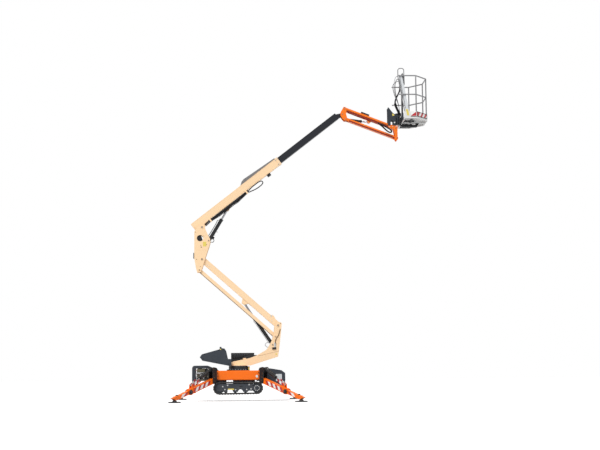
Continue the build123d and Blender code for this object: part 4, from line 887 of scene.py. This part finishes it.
def dress_jib():
    lower = shifted(JIB_PIN, JIB_STEP)
    head_lower = shifted(HEAD_PIN, JIB_STEP)
    pin_ends("tip_pins", "tip_bracket",
             [(*pin, JIB_PIN_R) for pin in ((2.8, 7.6), JIB_PIN, lower)], PIN_FACE)
    pin_ends("head_pins", "jib_head", [(*pin, JIB_PIN_R) for pin in (HEAD_PIN, head_lower)], PIN_FACE)
    lower_bar = between(lower, head_lower)
    # painted shade: dark red strips over the lower part of each jib bar's sides
    painted_shade_band("jib_upper_shade_band", "jib_upper", (0.09, -0.05), (JIB_LENGTH - 0.1, -0.008), 0.055, 0.0567, JIB)
    painted_shade_band("jib_lower_shade_band", "jib_lower", (0.1, -0.038), (JIB_LENGTH - 0.06, 0.0), 0.065, 0.0667,
              lower_bar)
    box = Shape().box((0.447, -0.05, 0.06), (0.683, 0.05, 0.101), JIB)
    box.finish("jib_top_box", "jib_upper", "black", bevel=0.008)
    dot = Shape().rod((0.53, -0.0653, 0.022), (0.53, -0.067, 0.022), 0.014, 20, place=lower_bar)
    dot.finish("jib_dot", "jib_lower", "label_yellow")
    nubs = Shape().studs([(2.86, 7.774, 0.011)], HEAD_FACE + SEAT, 0.1, 14)
    nubs.finish("tip_nubs", "tip_bracket", "pin_brown")
    hose("jib_hose_upper", ((0.06, -0.062, -0.02), (0.09, -0.064, -0.05), (0.16, -0.064, -0.068),
         (0.4, -0.064, -0.066), (0.52, -0.064, -0.062), (0.6, -0.062, -0.05)), 0.007, "jib_upper",
         place=JIB)
    hose("jib_hose_middle", ((0.66, -0.062, -0.05), (0.74, -0.064, -0.072), (0.9, -0.064, -0.068),
         (1.0, -0.064, -0.066), (1.06, -0.062, -0.05)), 0.007, "jib_upper", place=JIB)
    hose("jib_hose_loop", ((0.98, -0.066, -0.04), (1.02, -0.09, -0.06), (1.12, -0.122, -0.1),
         (1.26, -0.122, -0.165), (1.36, -0.122, -0.185), (1.41, -0.122, -0.15), (1.36, -0.122, -0.1),
         (1.22, -0.122, -0.078), (1.12, -0.105, -0.055), (1.06, -0.066, -0.035)), 0.019, "jib_upper",
         place=JIB)
    bolts = Shape().side_bolts([(x, 7.265) for x in (4.07, 4.15, 4.25)], HEAD_FACE, 0.009, 0.007)
    bolts.finish("head_bolts", "jib_head", "zinc")
    plugs = Shape().studs([(4.206, 7.375, 0.018)], HEAD_FACE + SEAT, 0.0905, 24)
    plugs.finish("mast_plugs", "jib_head", "white")
    tag = Shape().prism([(4.145, 7.56), (4.2, 7.56), (4.2, 7.6), (4.145, 7.625)], -0.0895, -0.0885)
    tag.finish("mast_tag", "jib_head", "label_yellow")


# ---- basket
TURN_X = HEAD_PIN[0] + 0.06
BASKET_X0 = TURN_X + 0.095
BASKET_X1 = BASKET_X0 + 0.67
BASKET_Y = 0.66
CORNER_X = BASKET_X1 - 0.337
CORNER_Y = 0.29
FLOOR_TOP = HEAD_PIN[1] + 0.2
BOX_TOP = FLOOR_TOP + 1.26  # top of the control box
COLUMN_FOOT = BASKET_X0 + 0.168  # first toe board stripe, beside the leaning column
COLUMN_FACE = 0.6217  # where a label lies on the leaning column
BOARD_STOP = 0.006  # the slanting boards end this far short of the end face
BOARD_PITCH = 0.16  # length of a red and a white stripe on a slanting board
BOARD_SLANT = 0.07


def toe_stripes(shapes, start, end, out, low, high):
    """Slanted bars in turn of two finishes along one toe board, on its outer face."""
    place = frame_on(start + out * (SEAT + 0.0006), end - start)
    length = (end - start).length
    count = max(2, round(length / BOARD_PITCH * 2))
    width = length / count
    for i in range(count):
        x0, x1 = i * width, (i + 1) * width
        lean0 = BOARD_SLANT if i else 0
        lean1 = BOARD_SLANT if i < count - 1 else 0
        bar = [(x0, low), (x1, low), (min(x1 + lean1, length), high), (min(x0 + lean0, length), high)]
        shapes[i % 2].prism(bar, -0.0005, 0.0005, place)


def corner_board(side):
    """Ends of the slanting toe board of a corner, short of the end face, and its outward direction."""
    start, end = Vector((CORNER_X, side * BASKET_Y, 0)), Vector((BASKET_X1, side * CORNER_Y, 0))
    run = (end - start).normalized()
    return start, end - run * BOARD_STOP, Vector((-run.y * side, run.x * side, 0))


def dress_toe_boards():
    low, high = FLOOR_TOP + 0.008, FLOOR_TOP + 0.122
    red, white, edge, plates = Shape(), Shape(), Shape(), Shape()
    for side in (-1, 1):
        near, far = sorted((side * (BASKET_Y + SEAT), side * (BASKET_Y + 0.0013)))
        x0, x1 = COLUMN_FOOT, CORNER_X - 0.014
        white.prism([(x0, low), (x1, high), (x0, high)], near, far)
        red.prism([(x0 + 0.002, low), (x1, low), (x1, high)], near, far)
        edge.box((COLUMN_FOOT, near, FLOOR_TOP - 0.018), (CORNER_X, far, FLOOR_TOP - 0.002))
        low_y, high_y = sorted((side * 0.52, side * 0.075))
        plates.box((BASKET_X0 - 0.0015, low_y, FLOOR_TOP - 0.055),
                   (BASKET_X0 - SEAT, high_y, FLOOR_TOP + 0.125))
        start, end, out = corner_board(side)
        toe_stripes((red, white), start, end, out, low + 0.006, high - 0.006)
        place = frame_on(start + out * 0.0027, end - start)
        length = (end - start).length
        for u0, u1, z0, z1 in ((0, length, -0.004, 0.014), (0, length, 0.116, 0.13),
                               (0, 0.02, 0.014, 0.116), (length - 0.02, length, 0.014, 0.116)):
            edge.box((u0, -0.001, FLOOR_TOP + z0), (u1, 0.001, FLOOR_TOP + z1), place)
    red.finish("toe_board_red", "basket", "red")
    white.finish("toe_board_white", "basket", "white")
    edge.finish("toe_board_edges", "basket", "black")
    plates.finish("toe_board_plates", "basket", "mount_slate")


def dress_basket():
    dress_toe_boards()
    under, over = FLOOR_TOP - 0.0575, FLOOR_TOP - 0.0185
    bars = Shape()
    for y in (-0.61, -0.2, 0.2, 0.61):
        bars.box((BASKET_X0 + 0.03, y - 0.02, under), (CORNER_X, y + 0.02, over))
    for x in (BASKET_X0 + 0.03, CORNER_X - 0.1):
        bars.box((x - 0.02, -0.6, under), (x + 0.02, 0.6, over))
    bars.finish("floor_frame", "basket", "black")
    label = Shape().prism([(4.463, 7.442), (4.521, 7.442), (4.492, 7.622), (4.434, 7.622)],
                          -COLUMN_FACE - 0.0008, -COLUMN_FACE)
    label.prism([(4.463, 7.442), (4.521, 7.442), (4.503, 7.556), (4.445, 7.556)], -0.6613, -0.6603)
    label.finish("column_label", "basket", "label_yellow")
    Shape().studs([(4.372, 7.53, 0.014)], 0.0703, 0.075, 24).finish("bracket_plugs", "basket", "white")
    strip = Shape().prism([(4.426, 7.64), (4.437, 7.64), (4.292, 8.53), (4.277, 8.53)],
                          -COLUMN_FACE - 0.0008, -COLUMN_FACE)
    strip.finish("column_strip", "basket", "grey_tube")
    levers = Shape()
    x = BASKET_X0 + 0.045
    for i in range(6):
        y = -0.13 + i * 0.052
        levers.rod((x, y, BOX_TOP + SEAT), (x, y, BOX_TOP + 0.03), 0.007, 12, 0.004)
        levers.rod((x, y, BOX_TOP + 0.03), (x, y, BOX_TOP + 0.045), 0.011, 16, 0.009)
    levers.finish("control_levers", "basket", "black", smooth=True)
    x, z = BASKET_X0 + 0.0953, BOX_TOP - 0.08
    button = Shape().rod((x, 0.1, z), (x + 0.0247, 0.1, z), 0.022, 24)
    button.finish("stop_button", "basket", "red", bevel=0.002)
    dress_basket_hoses()


def dress_basket_hoses():
    """Feed hoses that rise from the bracket past the leaning column to the control box."""
    place = Matrix.Translation((TURN_X, 0, 0))
    hose("feed_hose_thick", ((0.04, -0.045, 7.634), (0.01, -0.07, 7.7), (-0.06, -0.15, 7.81),
         (-0.09, -0.22, 7.9), (-0.07, -0.3, 7.99), (-0.02, -0.38, 8.08), (0.02, -0.45, 8.18),
         (0.01, -0.5, 8.3), (0.03, -0.46, 8.42), (0.1, -0.34, 8.48), (0.14, -0.22, 8.48),
         (0.14, -0.165, 8.48)), 0.02, "basket", place=place)
    hose("feed_sleeve", ((0.04, -0.045, 7.634), (0.03, -0.053, 7.66), (0.01, -0.07, 7.7),
         (-0.06, -0.15, 7.81), (-0.08, -0.19, 7.87)), 0.033, "basket", place=place)
    thin = ((0.16, 8.52, "pale_hose"), (0.13, 8.44, "hose"), (0.19, 8.38, "grey_tube"))
    for i, (bulge, top, material) in enumerate(thin):
        y, z = -0.56 + i * 0.02, 8.45 + i * 0.03
        hose("feed_hose_%d" % i, ((0.07, -0.03 + i * 0.03, 7.634), (0.05, -0.1, 7.7), (0, -0.26, 7.84),
             (-bulge * 0.7, -0.42, 8.05), (-bulge, y, 8.25), (-bulge * 0.8, y, top - 0.04),
             (-0.05, y, top + 0.03), (0.04, y, top - 0.02), (0.06, y + 0.03, top - 0.12),
             (0.12, -0.3, 8.44), (0.13, -0.22, z), (0.13, -0.165, z)), 0.008, "basket", material, place)


bpy.context.scene.view_settings.view_transform = "Standard"
make_camera()
make_world()
make_lights()
make_floor()
FINISHES = make_finishes()
dress_nodes()
dress_tracks()
dress_legs()
dress_chassis()
dress_turret()
dress_lower_arm()
dress_knuckle()
dress_boom()
dress_jib()
dress_basket()
